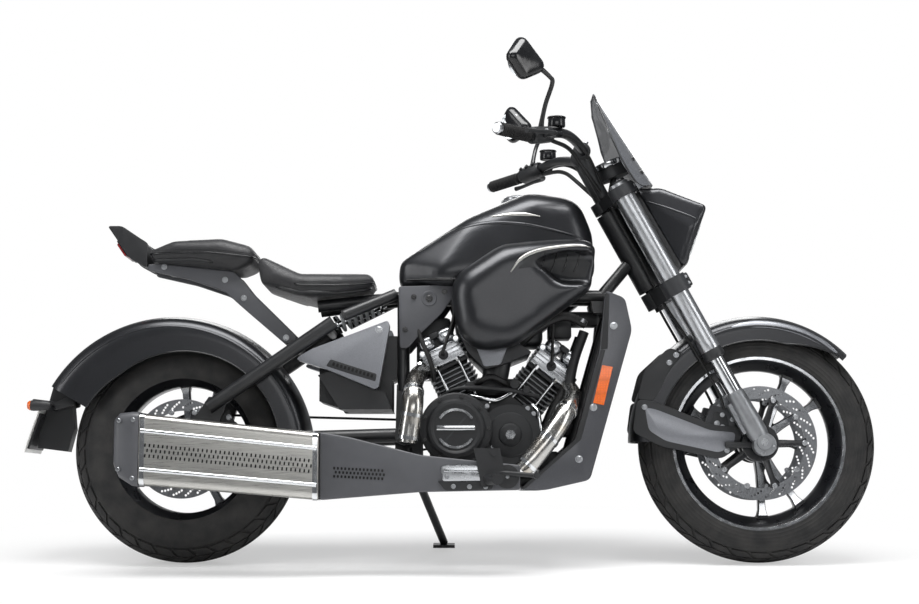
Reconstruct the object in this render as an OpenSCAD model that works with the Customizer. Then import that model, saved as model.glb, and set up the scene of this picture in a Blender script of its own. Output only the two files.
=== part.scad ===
// Cruiser motorcycle, parked on its side stand.
// Every piece is modelled on the upright motorcycle, whose axes are X forward, Y to its left
// and Z up from the floor, with the rear axle at x = 0. bike() then leans it onto its stand
// and moves it so that the origin is at the middle of its box, on the floor. Millimetres.

/* [Stance] */
// Distance between the two axles
wheelbase = 1497; // [1380:1:1620]
// Lean to the left on the side stand, in degrees
lean = 6.5; // [4:0.5:9]
// Angle of the fork back from the vertical, in degrees
rake = 28.5; // [26:0.5:31]
// Distance from the steering axis forward to the fork legs
fork_offset = 45; // [35:1:55]
// Distance of each fork leg from the middle
leg_y = 108; // [104:1:120]

/* [Front wheel] */
// Outer radius of the front tyre
front_tyre_r = 311; // [300:1:325]
// Width of the front tyre
front_tyre_w = 132; // [110:2:140]
// Radius of the front rim where the tyre's bead sits
front_bead_r = 216; // [203:1:222]
// Angle of the first pair of front spokes, in degrees
front_spoke_angle = 49; // [0:1:120]
// Radius of the front brake discs
front_disc_r = 150; // [130:1:160]

/* [Rear wheel] */
// Outer radius of the rear tyre
rear_tyre_r = 295; // [285:1:320]
// Width of the rear tyre
rear_tyre_w = 176; // [150:2:180]
// Radius of the rear rim where the tyre's bead sits
rear_bead_r = 190; // [178:1:203]
// Angle of the first pair of rear spokes, in degrees
rear_spoke_angle = 77.5; // [0:0.5:120]
// Radius of the rear brake disc
rear_disc_r = 130; // [110:1:145]
// Radius of the belt pulley
pulley_r = 95; // [80:1:105]

/* [Wheels] */
// Half of the angle between the two spokes of a pair, in degrees
spoke_spread = 15.5; // [12:0.5:20]
// Width of a spoke at the rim
spoke_w = 15; // [10:1:22]
// Thickness of a brake disc
disc_t = 5; // [4:0.5:7]
// Radius of the axles
axle_r = 12; // [10:0.5:14]
// Radius of the bore through the rear axle
axle_bore_r = 8; // [6:0.5:9]

/* [Fenders] */
// Half of the outer width of the front fender
front_fender_half_w = 78; // [76:1:80]
// Space between the front tyre and the crown of its fender
front_fender_gap = 22; // [15:1:35]
// Half of the outer width of the rear fender
rear_fender_half_w = 110; // [104:1:112]
// Outer radius of the rear fender's arc
rear_fender_r = 372; // [366:1:385]
// Wall of both fenders
fender_wall = 4; // [3:0.5:6]

/* [Frame] */
// Radius of the main frame tubes
frame_tube_r = 18; // [15:0.5:20]
// Radius of the cradle tubes
cradle_tube_r = 14; // [12:0.5:16]
// Distance of the swingarm's tubes from the middle
arm_y = 128.3; // [128:0.1:134]
// Radius of the swingarm's tubes
arm_r = 18; // [14:0.5:18]
// Radius of the steering stem
stem_r = 15; // [12:0.5:18]

/* [Body] */
// Half of the width of the fuel tank
tank_half_w = 130; // [110:1:135]
// Half of the width across the side cowls
cowl_half_w = 205; // [185:1:215]
// Half of the width of the rider's seat
seat_half_w = 150; // [120:1:165]
// Half of the width across the radiator shrouds
shroud_half_w = 150; // [135:1:160]
// Thickness of a radiator shroud
shroud_t = 25; // [15:1:30]

/* [Engine] */
// Half of the width of the crankcase
crankcase_half_w = 150; // [130:1:155]
// Angle of the rear cylinder back from the vertical, in degrees
rear_bank = 26; // [24:0.5:28]
// Angle of the front cylinder forward from the vertical, in degrees
front_bank = 38; // [34:0.5:40]
// Radius of the clutch cover
clutch_r = 92; // [80:1:95]
// Radius of an exhaust pipe
pipe_r = 24; // [20:0.5:26]

/* [Exhaust] */
// Length of the muffler without its cap
muffler_l = 444; // [380:2:480]
// Depth of the muffler from its outer to its inner side
muffler_depth = 112; // [90:1:120]
// Wall of the muffler
muffler_wall = 4; // [3:0.5:6]
// Distance of the muffler's outer side from the middle
muffler_out_y = 290; // [275:1:300]

/* [Controls] */
// Half of the distance between the ends of the grips
grip_end_y = 410; // [380:1:430]
// Radius of the handlebar tube
bar_r = 13; // [11:0.5:14]
// Radius of a grip
grip_r = 17; // [15:0.5:19]

/* [Number plate] */
// Width of the number plate
plate_w = 180; // [150:1:220]
// Height of the number plate
plate_h = 130; // [110:1:150]
// Distance between the two plate bolts
plate_bolt_spacing = 100; // [80:1:120]
// Radius of the plate bolt holes
plate_hole_r = 3.5; // [2.5:0.1:4]

/* [Hidden] */
$fn = 48;

// Heights of the axles: a leaned tyre's lowest point is on the floor
front_crown_r = front_tyre_w / 2;
rear_crown_r = rear_tyre_w / 2;
front_ring_r = front_tyre_r - front_crown_r;
rear_ring_r = rear_tyre_r - rear_crown_r;
front_axle_z = front_ring_r + front_crown_r / cos(lean);
rear_axle_z = rear_ring_r + rear_crown_r / cos(lean);

// Middle of the box of the leaned motorcycle
rear_end_x = -412;
origin_x = (wheelbase + front_tyre_r + rear_end_x) / 2;
origin_y = 124;

disc_room = disc_t / 2 + 5;   // room on each side of a disc's middle in its caliper
fit = 0.3;           // clearance of pieces that only meet
run_fit = 0.05;      // radial clearance of a shaft that turns in its bore
bore_gap = 0.5;      // clearance of a belt over its pulley

// Fork, in the fork's own frame: +Z up the legs from the front axle, +X forward
leg_tube_r = 27;
leg_slider_r = 21;
leg_top = 770;
leg_step = 253;
yoke_low = 440;
yoke_low_h = 44;
yoke_top = 730;
yoke_top_h = 30;
head_r = 32;

// Fork frame's X and Z directions on the upright motorcycle
function fork_point(x, y, s) = [
    wheelbase + x * cos(rake) - s * sin(rake),
    y,
    front_axle_z + x * sin(rake) + s * cos(rake)
];

// ---- Shared modules ----

module bike() {
    translate([-origin_x, -origin_y, 0]) rotate([-lean, 0, 0]) children();
}

module fork() {
    bike() translate([wheelbase, 0, front_axle_z]) rotate([0, -rake, 0]) children();
}

module both_sides() {
    children();
    mirror([0, 1, 0]) children();
}

// Bar between two points
module rod(a, b, r) {
    d = b - a;
    translate(a) rotate([0, acos(d[2] / norm(d)), atan2(d[1], d[0])]) cylinder(h = norm(d), r = r);
}

// Tube along straight stretches with round corners
module tube(points, r) {
    for (i = [0 : len(points) - 2]) rod(points[i], points[i + 1], r);
    for (i = [1 : 1 : len(points) - 2]) translate(points[i]) sphere(r = r * 1.02);
}

// Outline in the X-Z plane, from y0 to y1
module plate(outline, y0, y1) {
    translate([0, y1, 0]) rotate([90, 0, 0]) linear_extrude(y1 - y0) polygon(outline);
}

// Round piece about the Y direction, from y0 to y1
module disc_y(x, z, r, y0, y1) {
    translate([x, y1, z]) rotate([90, 0, 0]) cylinder(h = y1 - y0, r = r);
}

// Turned piece about the Y direction, outline in radius and lateral place
module turned(x, z, outline) {
    translate([x, 0, z]) rotate([90, 0, 0]) rotate_extrude($fn = 128) polygon(outline);
}

// Rounded lump across the motorcycle, from -w to w
module lump(x, z, r, w) {
    for (side = [-1, 1]) translate([x, side * (w - r), z]) sphere(r = r, $fn = 20);
}

// ---- Frame and swingarm ----

shroud_slope = 0.289;   // forward shift of the radiator's face for each unit of height
radiator_front = 1147;  // place of its face at the height below
radiator_z = 600;
radiator_t = 34;
function face_x(z) = radiator_front + (z - radiator_z) * shroud_slope;
function down_tube_x(z) = face_x(z) - radiator_t - 6 - cradle_tube_r;

spine_z = 698;
spine_y = 45;
cradle_z = 214;
cradle_y = 72;
pivot = [575, 115, 330];
cross_tube = [285, 124, 575];
seat_rail_y = 60;
stand_pivot = [610, 100, 214];

module frame() {
    color("#15161a") bike() difference() {
        union() {
            translate([wheelbase, 0, front_axle_z]) rotate([0, -rake, 0])
                translate([-fork_offset, 0, yoke_low + yoke_low_h + 6])
                    cylinder(h = yoke_top - yoke_low - yoke_low_h - 12, r = head_r);
            both_sides() {
                rod([1160, 22, 782], [1090, spine_y, spine_z], frame_tube_r - 2);
                rod([1100, spine_y, spine_z], [560, spine_y, spine_z], frame_tube_r - 2);
                rod([585, spine_y - 4, spine_z], [343, seat_rail_y, 669.2], frame_tube_r - 2);
            }
            both_sides() rod([415, 118, 640], [548, 74, 700], 15);
            rod([543, -78, 697], [543, 78, 697], 12);
        }
        translate([wheelbase, 0, front_axle_z]) rotate([0, -rake, 0])
            translate([-fork_offset, 0, 0]) cylinder(h = leg_top, r = stem_r + run_fit);
    }
}

pivot_plate_y = 82;
module frame_cradle() {
    bar_x = cradle_tube_r - 3;
    color("#15161a") bike() {
        both_sides() {
            tube([[down_tube_x(668), cradle_y, 668], [down_tube_x(260), cradle_y, 260],
                  [940, cradle_y, cradle_z], [600, cradle_y + 2, cradle_z], [580, cradle_y + 2, 296]],
                 cradle_tube_r);
            rod([566, 62, 680], [568, cradle_y + 2, 446], cradle_tube_r);
            plate([[548, 286], [618, 282], [616, 440], [588, 470], [552, 462]], cradle_y - 5, pivot_plate_y);
            // Gusset from the spine tube down to the top of the down tube
            plate([[1060, spine_z - 16.3], [down_tube_x(668) + 12, spine_z - 16.3], [down_tube_x(668) + 6, 650],
                   [1066, 650]], spine_y - 6, cradle_y + 6);
        }
        for (z = [300, 560])
            rod([down_tube_x(z) + bar_x, -cradle_y, z], [down_tube_x(z) + bar_x, cradle_y, z], 8);
        rod([604, -cradle_y, cradle_z], [604, cradle_y, cradle_z], 10);
        rod([567, -cradle_y, 492], [567, cradle_y, 492], 10);
        // Lug that carries the side stand
        translate([stand_pivot[0] - 22, stand_pivot[1] - 22, stand_pivot[2] - 20]) cube([44, 22, 30]);
    }
}

module swingarm() {
    color("#1b1c20") bike() {
        both_sides() {
            rod([70, arm_y, 400], [390, arm_y, 622], arm_r);
            rod([70, arm_y, 315], [pivot[0], arm_y, pivot[2]], arm_r);
            difference() {
                plate([[-38, rear_axle_z - 34], [75, rear_axle_z - 6], [118, 428], [70, 428]],
                      arm_y - arm_r, arm_y + 2);
                disc_y(0, rear_axle_z, axle_r, 0, arm_y + 20);
            }
            disc_y(pivot[0], pivot[2], 26, pivot_plate_y + fit, arm_y + arm_r);
        }
        rod([cross_tube[0], -cross_tube[1], cross_tube[2] - 11], [cross_tube[0], cross_tube[1], cross_tube[2] - 11], 12);
        rod([370, -arm_y, 610], [370, arm_y, 610], 12);
    }
}

shock_low = [383, 0, 622];
shock_high = [520, 0, 690];
module rear_shock() {
    color("#c9cacc") bike() {
        rod(shock_low, shock_high, 15);
        axis = (shock_high - shock_low) / norm(shock_high - shock_low);
        for (k = [0 : 6]) rod(shock_low + axis * (12 + 17 * k), shock_low + axis * (21 + 17 * k), 26);
        rod(shock_high - [0, 29, 0], shock_high + [0, 29, 0], 9);
    }
}

// ---- Painted body ----

module fuel_tank() {
    w = tank_half_w;
    // x, z, radius, half width
    sections = [
        [572, 734, 18, w - 62], [578, 776, 22, w - 52], [680, 752, 40, w], [760, 850, 62, w - 16],
        [900, 782, 70, w], [905, 905, 70, w - 22], [985, 900, 66, w - 38], [1030, 770, 44, w - 30],
        [1038, 860, 30, w - 60]
    ];
    color("#3a3b3f") bike() intersection() {
        hull() for (s = sections) lump(s[0], s[1], s[2], s[3]);
        translate([500, -w, spine_z + frame_tube_r - 2 + fit]) cube([600, 2 * w, 400]);
    }
}

// x, z, radius of the round lobes that bound a side cowl
cowl_lobes = [
    [790, 630, 88], [775, 690, 84], [850, 745, 80], [946, 774, 60], [1030, 795, 40], [1020, 725, 40],
    [840, 600, 48]
];
module side_cowls() {
    color("#3a3b3f") bike() both_sides() difference() {
        hull() for (c = cowl_lobes) {
            disc_y(c[0], c[1], c[2], tank_half_w + 4, tank_half_w + 30, $fn = 32);
            translate([c[0], cowl_half_w, c[1]]) rotate([90, 0, 0])
                cylinder(h = 4, r = c[2] * 0.45, $fn = 32);
            disc_y(c[0], c[1], c[2] * 0.84, tank_half_w + 30, cowl_half_w - 20, $fn = 32);
        }
        // Mouth of the scoop
        plate([[975, 715], [1120, 715], [1120, 790], [990, 798], [900, 775]], cowl_half_w - 48, cowl_half_w + 1);
        // Room for the front of the tank and the down tube
        translate([700, 0, 500]) cube([400, tank_half_w + fit, 400]);
    }
    // Stays from the frame's tubes to each cowl
    color("#15161a") bike() both_sides() {
        rod([1000, spine_y + frame_tube_r - 2 + fit, spine_z], [1000, tank_half_w + 4, spine_z], 7);
        rod([800, spine_y + frame_tube_r - 2 + fit, spine_z], [800, tank_half_w + 4, spine_z], 7);
    }
}

battery_half_w = 104;
module side_covers() {
    color("#6f7176") bike() both_sides() difference() {
        plate([[293, 524], [330, 548], [530, 624], [536, 612], [508, 452], [498, 446], [383, 494]],
              battery_half_w + fit, 148);
        plate([[352, 512], [498, 565], [494, 552], [358, 500]], 143, 150);
    }
}

module battery_box() {
    color("#1b1c20") bike() union() {
        plate([[350, 420], [420, 396], [540, 396], [540, 474], [552.6, 480], [552.6, 590], [430, 590], [350, 545]],
              -battery_half_w + 30, battery_half_w - 30);
        both_sides()
            plate([[350, 484], [383, 494], [498, 446], [523, 440], [540, 396], [407, 396]],
                  battery_half_w - 30, 128);
        both_sides()
            plate([[360, 490], [383, 494], [498, 446], [500, 560], [430, 560]], battery_half_w - 30, battery_half_w);
    }
}

module radiator() {
    color("#202124") bike()
        plate([[face_x(600), 600], [face_x(600) - radiator_t, 600], [face_x(240) - radiator_t, 240],
               [face_x(240), 240]], -shroud_half_w + shroud_t, shroud_half_w - shroud_t);
}

chin_t = 7;
shroud_outline = [
    [1091, 702], [1142, 682], [1159, 599], [1048, 215], [933, 189], [869, 189], [1010, 316], [1076, 547]
];
module radiator_shrouds() {
    color("#4d4f54") bike() {
        both_sides() plate(shroud_outline, shroud_half_w - shroud_t, shroud_half_w);
        plate([[869, 189], [933, 189], [1048, 215], [1050, 215 + chin_t], [933, 189 + chin_t], [869, 189 + chin_t]],
              -shroud_half_w + shroud_t, shroud_half_w - shroud_t);
    }
}

module side_reflectors() {
    color("#e8771a") bike() both_sides()
        plate([[1081, 508], [1108, 503], [1084, 405], [1057, 411]], shroud_half_w, shroud_half_w + 6);
}

// ---- Engine ----

crank = [790, 300];

// Frame of a cylinder: +Z along its bore from the crankshaft, +X forward
module bank(angle) {
    translate([crank[0], 0, crank[1]]) rotate([0, angle, 0]) children();
}

deck_reach = 140;   // height of the decks that the cylinders stand on, from the crankshaft

// Room for the belt and its sprocket in the left of the case
module sprocket_pocket() {
    translate([600, belt_y - belt_w / 2 - 5, 286]) cube([90, 80, 110]);
}

module crankcase() {
    w = crankcase_half_w;
    color("#232428") bike() {
        difference() {
            plate([[627, 393], [640, 266], [700, 238], [869, 238], [935, 330], [918, 400], [850, 440],
                   [790, 412], [740, 452], [665, 431]], -w + 40, w - 40);
            for (angle = [-rear_bank, front_bank]) bank(angle)
                translate([-60 - fit, -w, deck_reach - fit]) cube([120 + 2 * fit, 2 * w, 200]);
            sprocket_pocket();
        }
        // Side cases
        difference() {
            both_sides() {
                disc_y(crank[0] + 55, 330, 78, w - 40, w - 10);
                plate([[640, 385], [650, 280], [700, 252], [760, 262], [770, 396], [700, 415]], w - 40, w - 10);
            }
            sprocket_pocket();
        }
        // Sump
        translate([690, -70, 229]) cube([130, 140, 10]);
    }
}

module cylinder_unit(reach) {
    barrel_low = deck_reach;
    barrel_high = 232;
    difference() {
        union() {
            translate([-52, -70, barrel_low]) cube([104, 140, barrel_high - barrel_low]);
            for (k = [0 : 5]) translate([-60, -80, barrel_low + 10 + 14 * k]) cube([120, 160, 7]);
            translate([-60, -92, barrel_high]) cube([120, 184, reach - barrel_high - 34]);
            // Domed cover of the head
            translate([-46, -98, reach - 40]) cube([92, 196, 40]);
            for (side = [-1, 1]) translate([46 * side, -92, reach - 34]) rotate([-90, 0, 0])
                cylinder(h = 184, r = 14);
        }
        // Plug wells in the two sides of the head
        for (side = [-1, 1]) translate([0, side * 98, barrel_high + 40]) rotate([90, 0, 0])
            cylinder(h = 24, r = 15, center = true);
    }
}

head_reach = 332;
module front_cylinder() {
    color("#a6a8ab") bike() bank(front_bank) cylinder_unit(head_reach);
}

module rear_cylinder() {
    color("#8f9194") bike() bank(-rear_bank) cylinder_unit(head_reach);
}

clutch_x = 706;
clutch_z = 345;
module clutch_cover() {
    inner_y = crankcase_half_w - 10 + fit;
    color("#191a1d") bike() {
        disc_y(clutch_x, clutch_z, clutch_r, -inner_y - 24, -inner_y);
        disc_y(clutch_x, clutch_z, clutch_r - 14, -inner_y - 34, -inner_y - 24);
        difference() {
            disc_y(clutch_x, clutch_z, clutch_r - 22, -inner_y - 40, -inner_y - 34);
            disc_y(clutch_x, clutch_z, clutch_r - 30, -inner_y - 41, -inner_y - 36);
        }
    }
}

module alternator_cover() {
    inner_y = crankcase_half_w - 10 + fit;
    color("#191a1d") bike() {
        disc_y(crank[0] + 55, 334, 54, inner_y, inner_y + 22);
        disc_y(crank[0] + 55, 334, 42, inner_y + 22, inner_y + 30);
    }
}

function bank_point(angle, x, reach) =
    [crank[0] + reach * sin(angle) + x * cos(angle), crank[1] + reach * cos(angle) - x * sin(angle)];

module intake_cover() {
    color("#77797d") bike() {
        plate([bank_point(-rear_bank, 60 + fit, 316), [868, 568], bank_point(front_bank, -60 - fit, 262),
               [826, 512], [782, 500], bank_point(-rear_bank, 60 + fit, 240)], -118, 118);
    }
}

// Exhaust port on the outer face of a cylinder, out of its face by d
port_y = -72;
port_reach = 252;
function port(angle, way, d) = [
    crank[0] + port_reach * sin(angle) + way * (60 + d) * cos(angle),
    port_y,
    crank[1] + port_reach * cos(angle) - way * (60 + d) * sin(angle)
];

// What a pipe may not enter: the head that it is bolted to
module head_room(angle) {
    bank(angle) translate([-60 - fit, -110, deck_reach - 20]) cube([120 + 2 * fit, 220, 260]);
}

pipe_y = 214;
module front_exhaust_pipe() {
    color("#b3b4b6") bike() difference() {
        union() {
            tube([port(front_bank, 1, -20), [1006, -122, 430], [984, -176, 384], [946, -204, 326],
                  [900, -pipe_y, 268], [872, -pipe_y, 236]], pipe_r);
            rod(port(front_bank, 1, 0), port(front_bank, 1, 7), pipe_r + 4);
        }
        head_room(front_bank);
    }
}

module rear_exhaust_pipe() {
    color("#b3b4b6") bike() difference() {
        union() {
            tube([port(-rear_bank, -1, -20), [606, -126, 480], [598, -186, 446], [598, -pipe_y, 404],
                  [590, -pipe_y, 350], [584, -pipe_y, 306]], pipe_r);
            rod(port(-rear_bank, -1, 0), port(-rear_bank, -1, 7), pipe_r + 4);
        }
        head_room(-rear_bank);
    }
}

box_in_y = 184;
box_out_y = 262;
module exhaust_box() {
    rear_x = muffler_x + muffler_l + fit;
    outline = [[rear_x, 333], [442, 320], [617, 276], [741, 263], [866, 251], [866, 189], [617, 184],
               [rear_x, 164]];
    inner = [[rear_x + 6, 327], [442, 314], [617, 270], [741, 257], [860, 245], [860, 195], [617, 190],
             [rear_x + 6, 171]];
    color("#2e2f33") bike() difference() {
        plate(outline, -box_out_y, -box_in_y);
        plate(inner, -box_out_y + muffler_wall, -box_in_y - muffler_wall);
        // Sockets of the two pipes
        rod([590, -pipe_y, 350], [576, -pipe_y, 248], pipe_r + fit);
        rod([900, -pipe_y, 268], [858, -pipe_y, 220], pipe_r + fit);
    }
    // Bracket to the cradle
    color("#15161a") bike() {
        translate([588, -box_in_y, 206]) cube([24, box_in_y - cradle_y - 2 - cradle_tube_r - fit, 14]);
    }
}

// Side outline of the muffler: its front and back edges, its lower edge rises to the back
module muffler_body(x0, x1, grow) {
    tilt = atan2(211 - 180, 444);
    translate([x0, -muffler_out_y, 0]) rotate([0, 0, 0])
        plate([[0, 201 - 2 + grow], [0, 378 - grow], [x1 - x0, 331 - grow], [x1 - x0, 164 + grow]],
              grow, muffler_depth - grow);
}

muffler_x = -78;
module muffler() {
    color("#a9abae") bike() difference() {
        union() {
            muffler_body(muffler_x, muffler_x + muffler_l, 0);
            // The two ridges along its outer side
            for (z = [238, 322]) rod([muffler_x + 6, -muffler_out_y, z], [muffler_x + muffler_l - 6, -muffler_out_y, z - 42], 4);
        }
        translate([0, 0, 0]) muffler_body(muffler_x - 1, muffler_x + muffler_l + 1, muffler_wall);
    }
}

module muffler_end_cap() {
    hanger_l = muffler_out_y - muffler_depth - arm_y - 2 - 2 * fit;
    x1 = muffler_x - fit;
    color("#3a3b3f") bike() difference() {
        plate([[x1 - 60, 240], [x1 - 64, 376], [x1, 379], [x1, 198]], -muffler_out_y - 3, -muffler_out_y + muffler_depth + 3);
        // Outlet
        rod([x1 - 80, -muffler_out_y + muffler_depth / 2, 300], [x1 - 12, -muffler_out_y + muffler_depth / 2, 300], 34);
    }
    // Hanger from the swingarm's end to the muffler
    color("#15161a") bike()
        translate([-30, -muffler_out_y + muffler_depth + fit, 318]) cube([40, hanger_l, 24]);
}

module rider_seat() {
    w = seat_half_w;
    color("#1d1e21") bike() {
        hull() {
            lump(470, 733, 22, w - 60);
            lump(400, 722, 26, w - 10);
            lump(330, 714, 30, w);
            lump(300, 722, 26, w);
        }
        hull() {
            lump(300, 718, 28, w);
            lump(240, 740, 22, w - 10);
            lump(204, 778, 16, w - 30);
            lump(212, 735, 16, w - 30);
        }
    }
}

module pillion_seat() {
    color("#1d1e21") bike() hull() {
        lump(150, 800, 30, 112);
        lump(88, 812, 34, 118);
        lump(-30, 818, 22, 104);
        lump(-84, 806, 14, 88);
        translate([-80, -80, 782]) cube([20, 160, 6]);
        translate([120, -90, 762]) cube([14, 180, 6]);
    }
}

arm_end_x = -104;
module seat_support() {
    arm = [[arm_end_x, 779], [-80, 782 - fit], [120, 762 - fit], [132, 754], [165, 712], [290, 590],
           [290, 580], [262, 567], [139, 672], [99, 708], [7, 739], [arm_end_x, 764]];
    color("#4f5156") bike() {
        both_sides() plate(arm, 58, 76);
        plate([[-60, 770], [60, 758], [60, 750], [-60, 761]], -58, 58);
    }
}

module tail_hoop() {
    front_x = arm_end_x - fit;
    hoop = [[-210, 880], [-172, 880], [-120, 845], [front_x, 836], [front_x, 769], [-150, 794]];
    slot = [[-182, 862], [-166, 862], [-126, 836], [-142, 812]];
    color("#26272a") bike() difference() {
        plate(hoop, -84, 84);
        plate(slot, -66, 66);
    }
}

// Point on the rear face of the hoop: along it from its foot, and out of it
function hoop_face(along, out) = [-150 - 0.572 * along - 0.82 * out, 794 + 0.82 * along - 0.572 * out];
module tail_lamp() {
    color("#8e1216") bike()
        plate([hoop_face(12, fit), hoop_face(62, fit), hoop_face(58, 11), hoop_face(16, 11)], -60, 60);
}

// ---- Rear end ----

fender_x = -36;    // middle of the rear fender's arc from the rear axle
fender_dz = -20;
module rear_fender() {
    w = rear_fender_half_w;
    r = rear_fender_r;
    t = fender_wall;
    section = [
        [244, w], [r - 52, w], [r - 22, w - 16], [r - 6, w - 48], [r, 0], [r - 6, -w + 48], [r - 22, -w + 16],
        [r - 52, -w], [244, -w], [244, -w + t], [r - 52 - t / 2, -w + t], [r - 22 - t, -w + 18],
        [r - 6 - t, -w + 49], [r - t, 0], [r - 6 - t, w - 49], [r - 22 - t, w - 18],
        [r - 52 - t / 2, w - t], [244, w - t]
    ];
    color("#3a3b3f") bike() difference() {
        translate([fender_x, 0, rear_axle_z + fender_dz]) rotate([90, 0, 0])
            rotate([0, 0, 10]) rotate_extrude(angle = 140, $fn = 128) polygon(section);
        // Edge of the sides, round about the axle
        disc_y(0, rear_axle_z, 249, -w - 1, w + 1, $fn = 96);
        // Way for the drive belt
        translate([200, 84, 300]) cube([150, w - 80, 102]);
    }
}

tail_angle = 150;
function tail_point(r) = [fender_x + r * cos(tail_angle), rear_axle_z + fender_dz + r * sin(tail_angle)];
plate_lean = 18;
plate_at = [-392, 345];
module plate_bracket() {
    p = tail_point(rear_fender_r - 3);
    q = tail_point(rear_fender_r - 60);
    color("#1b1c20") bike() difference() {
        union() {
            plate([[q[0], q[1] - fit], [p[0], p[1] - fit], [-370, 404], [-388, 346], [-392, 300], [-313, 290],
                   [-298, 348]], -22, 22);
            translate([plate_at[0], 0, plate_at[1]]) rotate([0, plate_lean, 0])
                translate([0, -75, -50]) cube([6, 150, 96]);
        }
        plate_holes();
    }
}

module plate_holes() {
    translate([plate_at[0], 0, plate_at[1]]) rotate([0, plate_lean, 0])
        for (side = [-1, 1]) translate([-20, side * plate_bolt_spacing / 2, 35]) rotate([0, 90, 0])
            cylinder(h = 40, r = plate_hole_r);
}

module number_plate() {
    color("#e9e9e6") bike() difference() {
        translate([plate_at[0], 0, plate_at[1]]) rotate([0, plate_lean, 0])
            translate([-2.5, -plate_w / 2, -plate_h / 2 + 4]) cube([2.5, plate_w, plate_h]);
        plate_holes();
    }
}

module rear_indicators() {
    color("#26272a") bike() both_sides() {
        rod([-350, 22 + fit, 404], [-352, 112, 406], 6);
        rod([-398, 122, 406], [-338, 122, 406], 13);
    }
}

module rear_caliper() {
    color("#3b3c40") bike() rotate([0, 0, 0]) difference() {
        union() {
            plate([[70, 340], [104, 296], [150, 330], [118, 396]], -109.5, -86);
            disc_y(108, 352, 14, -arm_y + arm_r + fit, -109);
        }
        disc_y(0, rear_axle_z, rear_disc_r + 5, -rear_disc_y - disc_room, -rear_disc_y + disc_room);
    }
}

sprocket_x = 640;
sprocket_z = 340;
sprocket_r = 34;
belt_t = 6;
belt_w = 12;
belt_y = 99;
// Outline that wraps two round pulleys whose radii grow by extra
function belt_loop(extra) =
    let (
        climb = atan2(sprocket_z - rear_axle_z, sprocket_x),
        half = acos((pulley_r - sprocket_r) / norm([sprocket_x, sprocket_z - rear_axle_z])),
        big = pulley_r + bore_gap + extra,
        small = sprocket_r + extra
    )
    concat(
        [for (k = [0 : 40]) let (a = climb + half + k * (360 - 2 * half) / 40)
            [big * cos(a), rear_axle_z + big * sin(a)]],
        [for (k = [0 : 20]) let (a = climb - half + k * 2 * half / 20)
            [sprocket_x + small * cos(a), sprocket_z + small * sin(a)]]
    );

module drive_belt() {
    color("#17181a") bike() {
        translate([0, belt_y + belt_w / 2, 0]) rotate([90, 0, 0]) linear_extrude(belt_w) difference() {
            polygon(belt_loop(belt_t));
            polygon(belt_loop(0));
        }
        // Front sprocket on the gearbox shaft
        disc_y(sprocket_x, sprocket_z, sprocket_r - 2 * fit, belt_y - belt_w / 2 - 4, belt_y + belt_w / 2);
    }
}

module rear_axle() {
    color("#8d8f93") bike() {
        difference() {
            union() {
                disc_y(0, rear_axle_z, axle_r - run_fit, -152, 152);
                both_sides() disc_y(0, rear_axle_z, axle_r + 9, arm_y + 2 + fit, arm_y + 16);
            }
            disc_y(0, rear_axle_z, axle_bore_r, -153, 153);
        }
    }
}

module footrests() {
    color("#9a9ca0") bike() both_sides() {
        rod([800, crankcase_half_w - 10 + fit, 282], [800, 284, 282], 8);
        plate([[750, 292], [815, 292], [830, 222], [820, 204], [770, 196]], 268, 280);
        rod([786, 274, 214], [806, 368, 214], 13);
        // Pedal or lever in front of the rest
        rod([815, 274, 232], [905, 292, 224], 6);
        rod([905, 272, 224], [905, 312, 224], 8);
    }
}

// ---- Steering ----

bar_height = 95;       // bar clamp above the top yoke, along the fork
bar_path = [[1040, 0, 1085], [1040, 80, 1085], [985, 190, 1104], [893, 285, 1079]];
function flip(points) = [for (p = points) [p[0], -p[1], p[2]]];
grip_start = [889, 289, 1078];
grip_end = [805, grip_end_y, 1072];

module yoke_plate(low, high) {
    hull() for (side = [-1, 1]) translate([0, side * leg_y, low]) cylinder(h = high - low, r = leg_tube_r + 9);
}

module steering_yokes() {
    color("#202124") fork() difference() {
        union() {
            for (side = [-1, 1]) for (band = [[yoke_low, yoke_low_h], [yoke_top, yoke_top_h]]) {
                translate([0, side * leg_y, band[0]]) cylinder(h = band[1], r = leg_tube_r + 9);
                // Web from the leg to the steering stem
                translate([-fork_offset, 0, band[0]]) rotate([0, 0, side * atan2(leg_y, fork_offset)])
                    translate([0, -22, 0]) cube([norm([leg_y, fork_offset]), 44, band[1]]);
            }
            for (band = [[yoke_low, yoke_low_h], [yoke_top, yoke_top_h]])
                translate([-fork_offset, 0, band[0]]) cylinder(h = band[1], r = head_r);
            // Lugs that carry the headlamp's cowl
            for (side = [-1, 1]) translate([-16, side * 60 - 8, yoke_top + 6]) cube([cowl_gap + 16 - fit, 16, 16]);
            translate([-fork_offset, 0, yoke_low - 12]) cylinder(h = yoke_top + yoke_top_h - yoke_low + 26, r = stem_r);
        }
        for (side = [-1, 1]) translate([0, side * leg_y, yoke_low - 20]) cylinder(h = 400, r = leg_tube_r);
    }
}

module fork_legs() {
    color("#a3a5a8") fork() for (side = [-1, 1]) translate([0, side * leg_y, 0]) difference() {
        union() {
            translate([0, 0, leg_step]) cylinder(h = leg_top - leg_step, r = leg_tube_r - run_fit);
            translate([0, 0, 20]) cylinder(h = leg_step - 20, r = leg_slider_r);
            // Foot that clamps the axle
            translate([0, 0, -6]) rotate([90, 0, 0]) cylinder(h = 38, r = 30, center = true);
            translate([-22, -19, -6]) cube([44, 38, 60]);
        }
        rotate([90, 0, 0]) cylinder(h = 60, r = axle_r, center = true);
    }
}

module front_axle() {
    color("#8d8f93") bike() {
        disc_y(wheelbase, front_axle_z, axle_r - run_fit, -132, 132);
        both_sides() disc_y(wheelbase, front_axle_z, axle_r + 7, leg_y + 19 + fit, leg_y + 28);
    }
}

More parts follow.
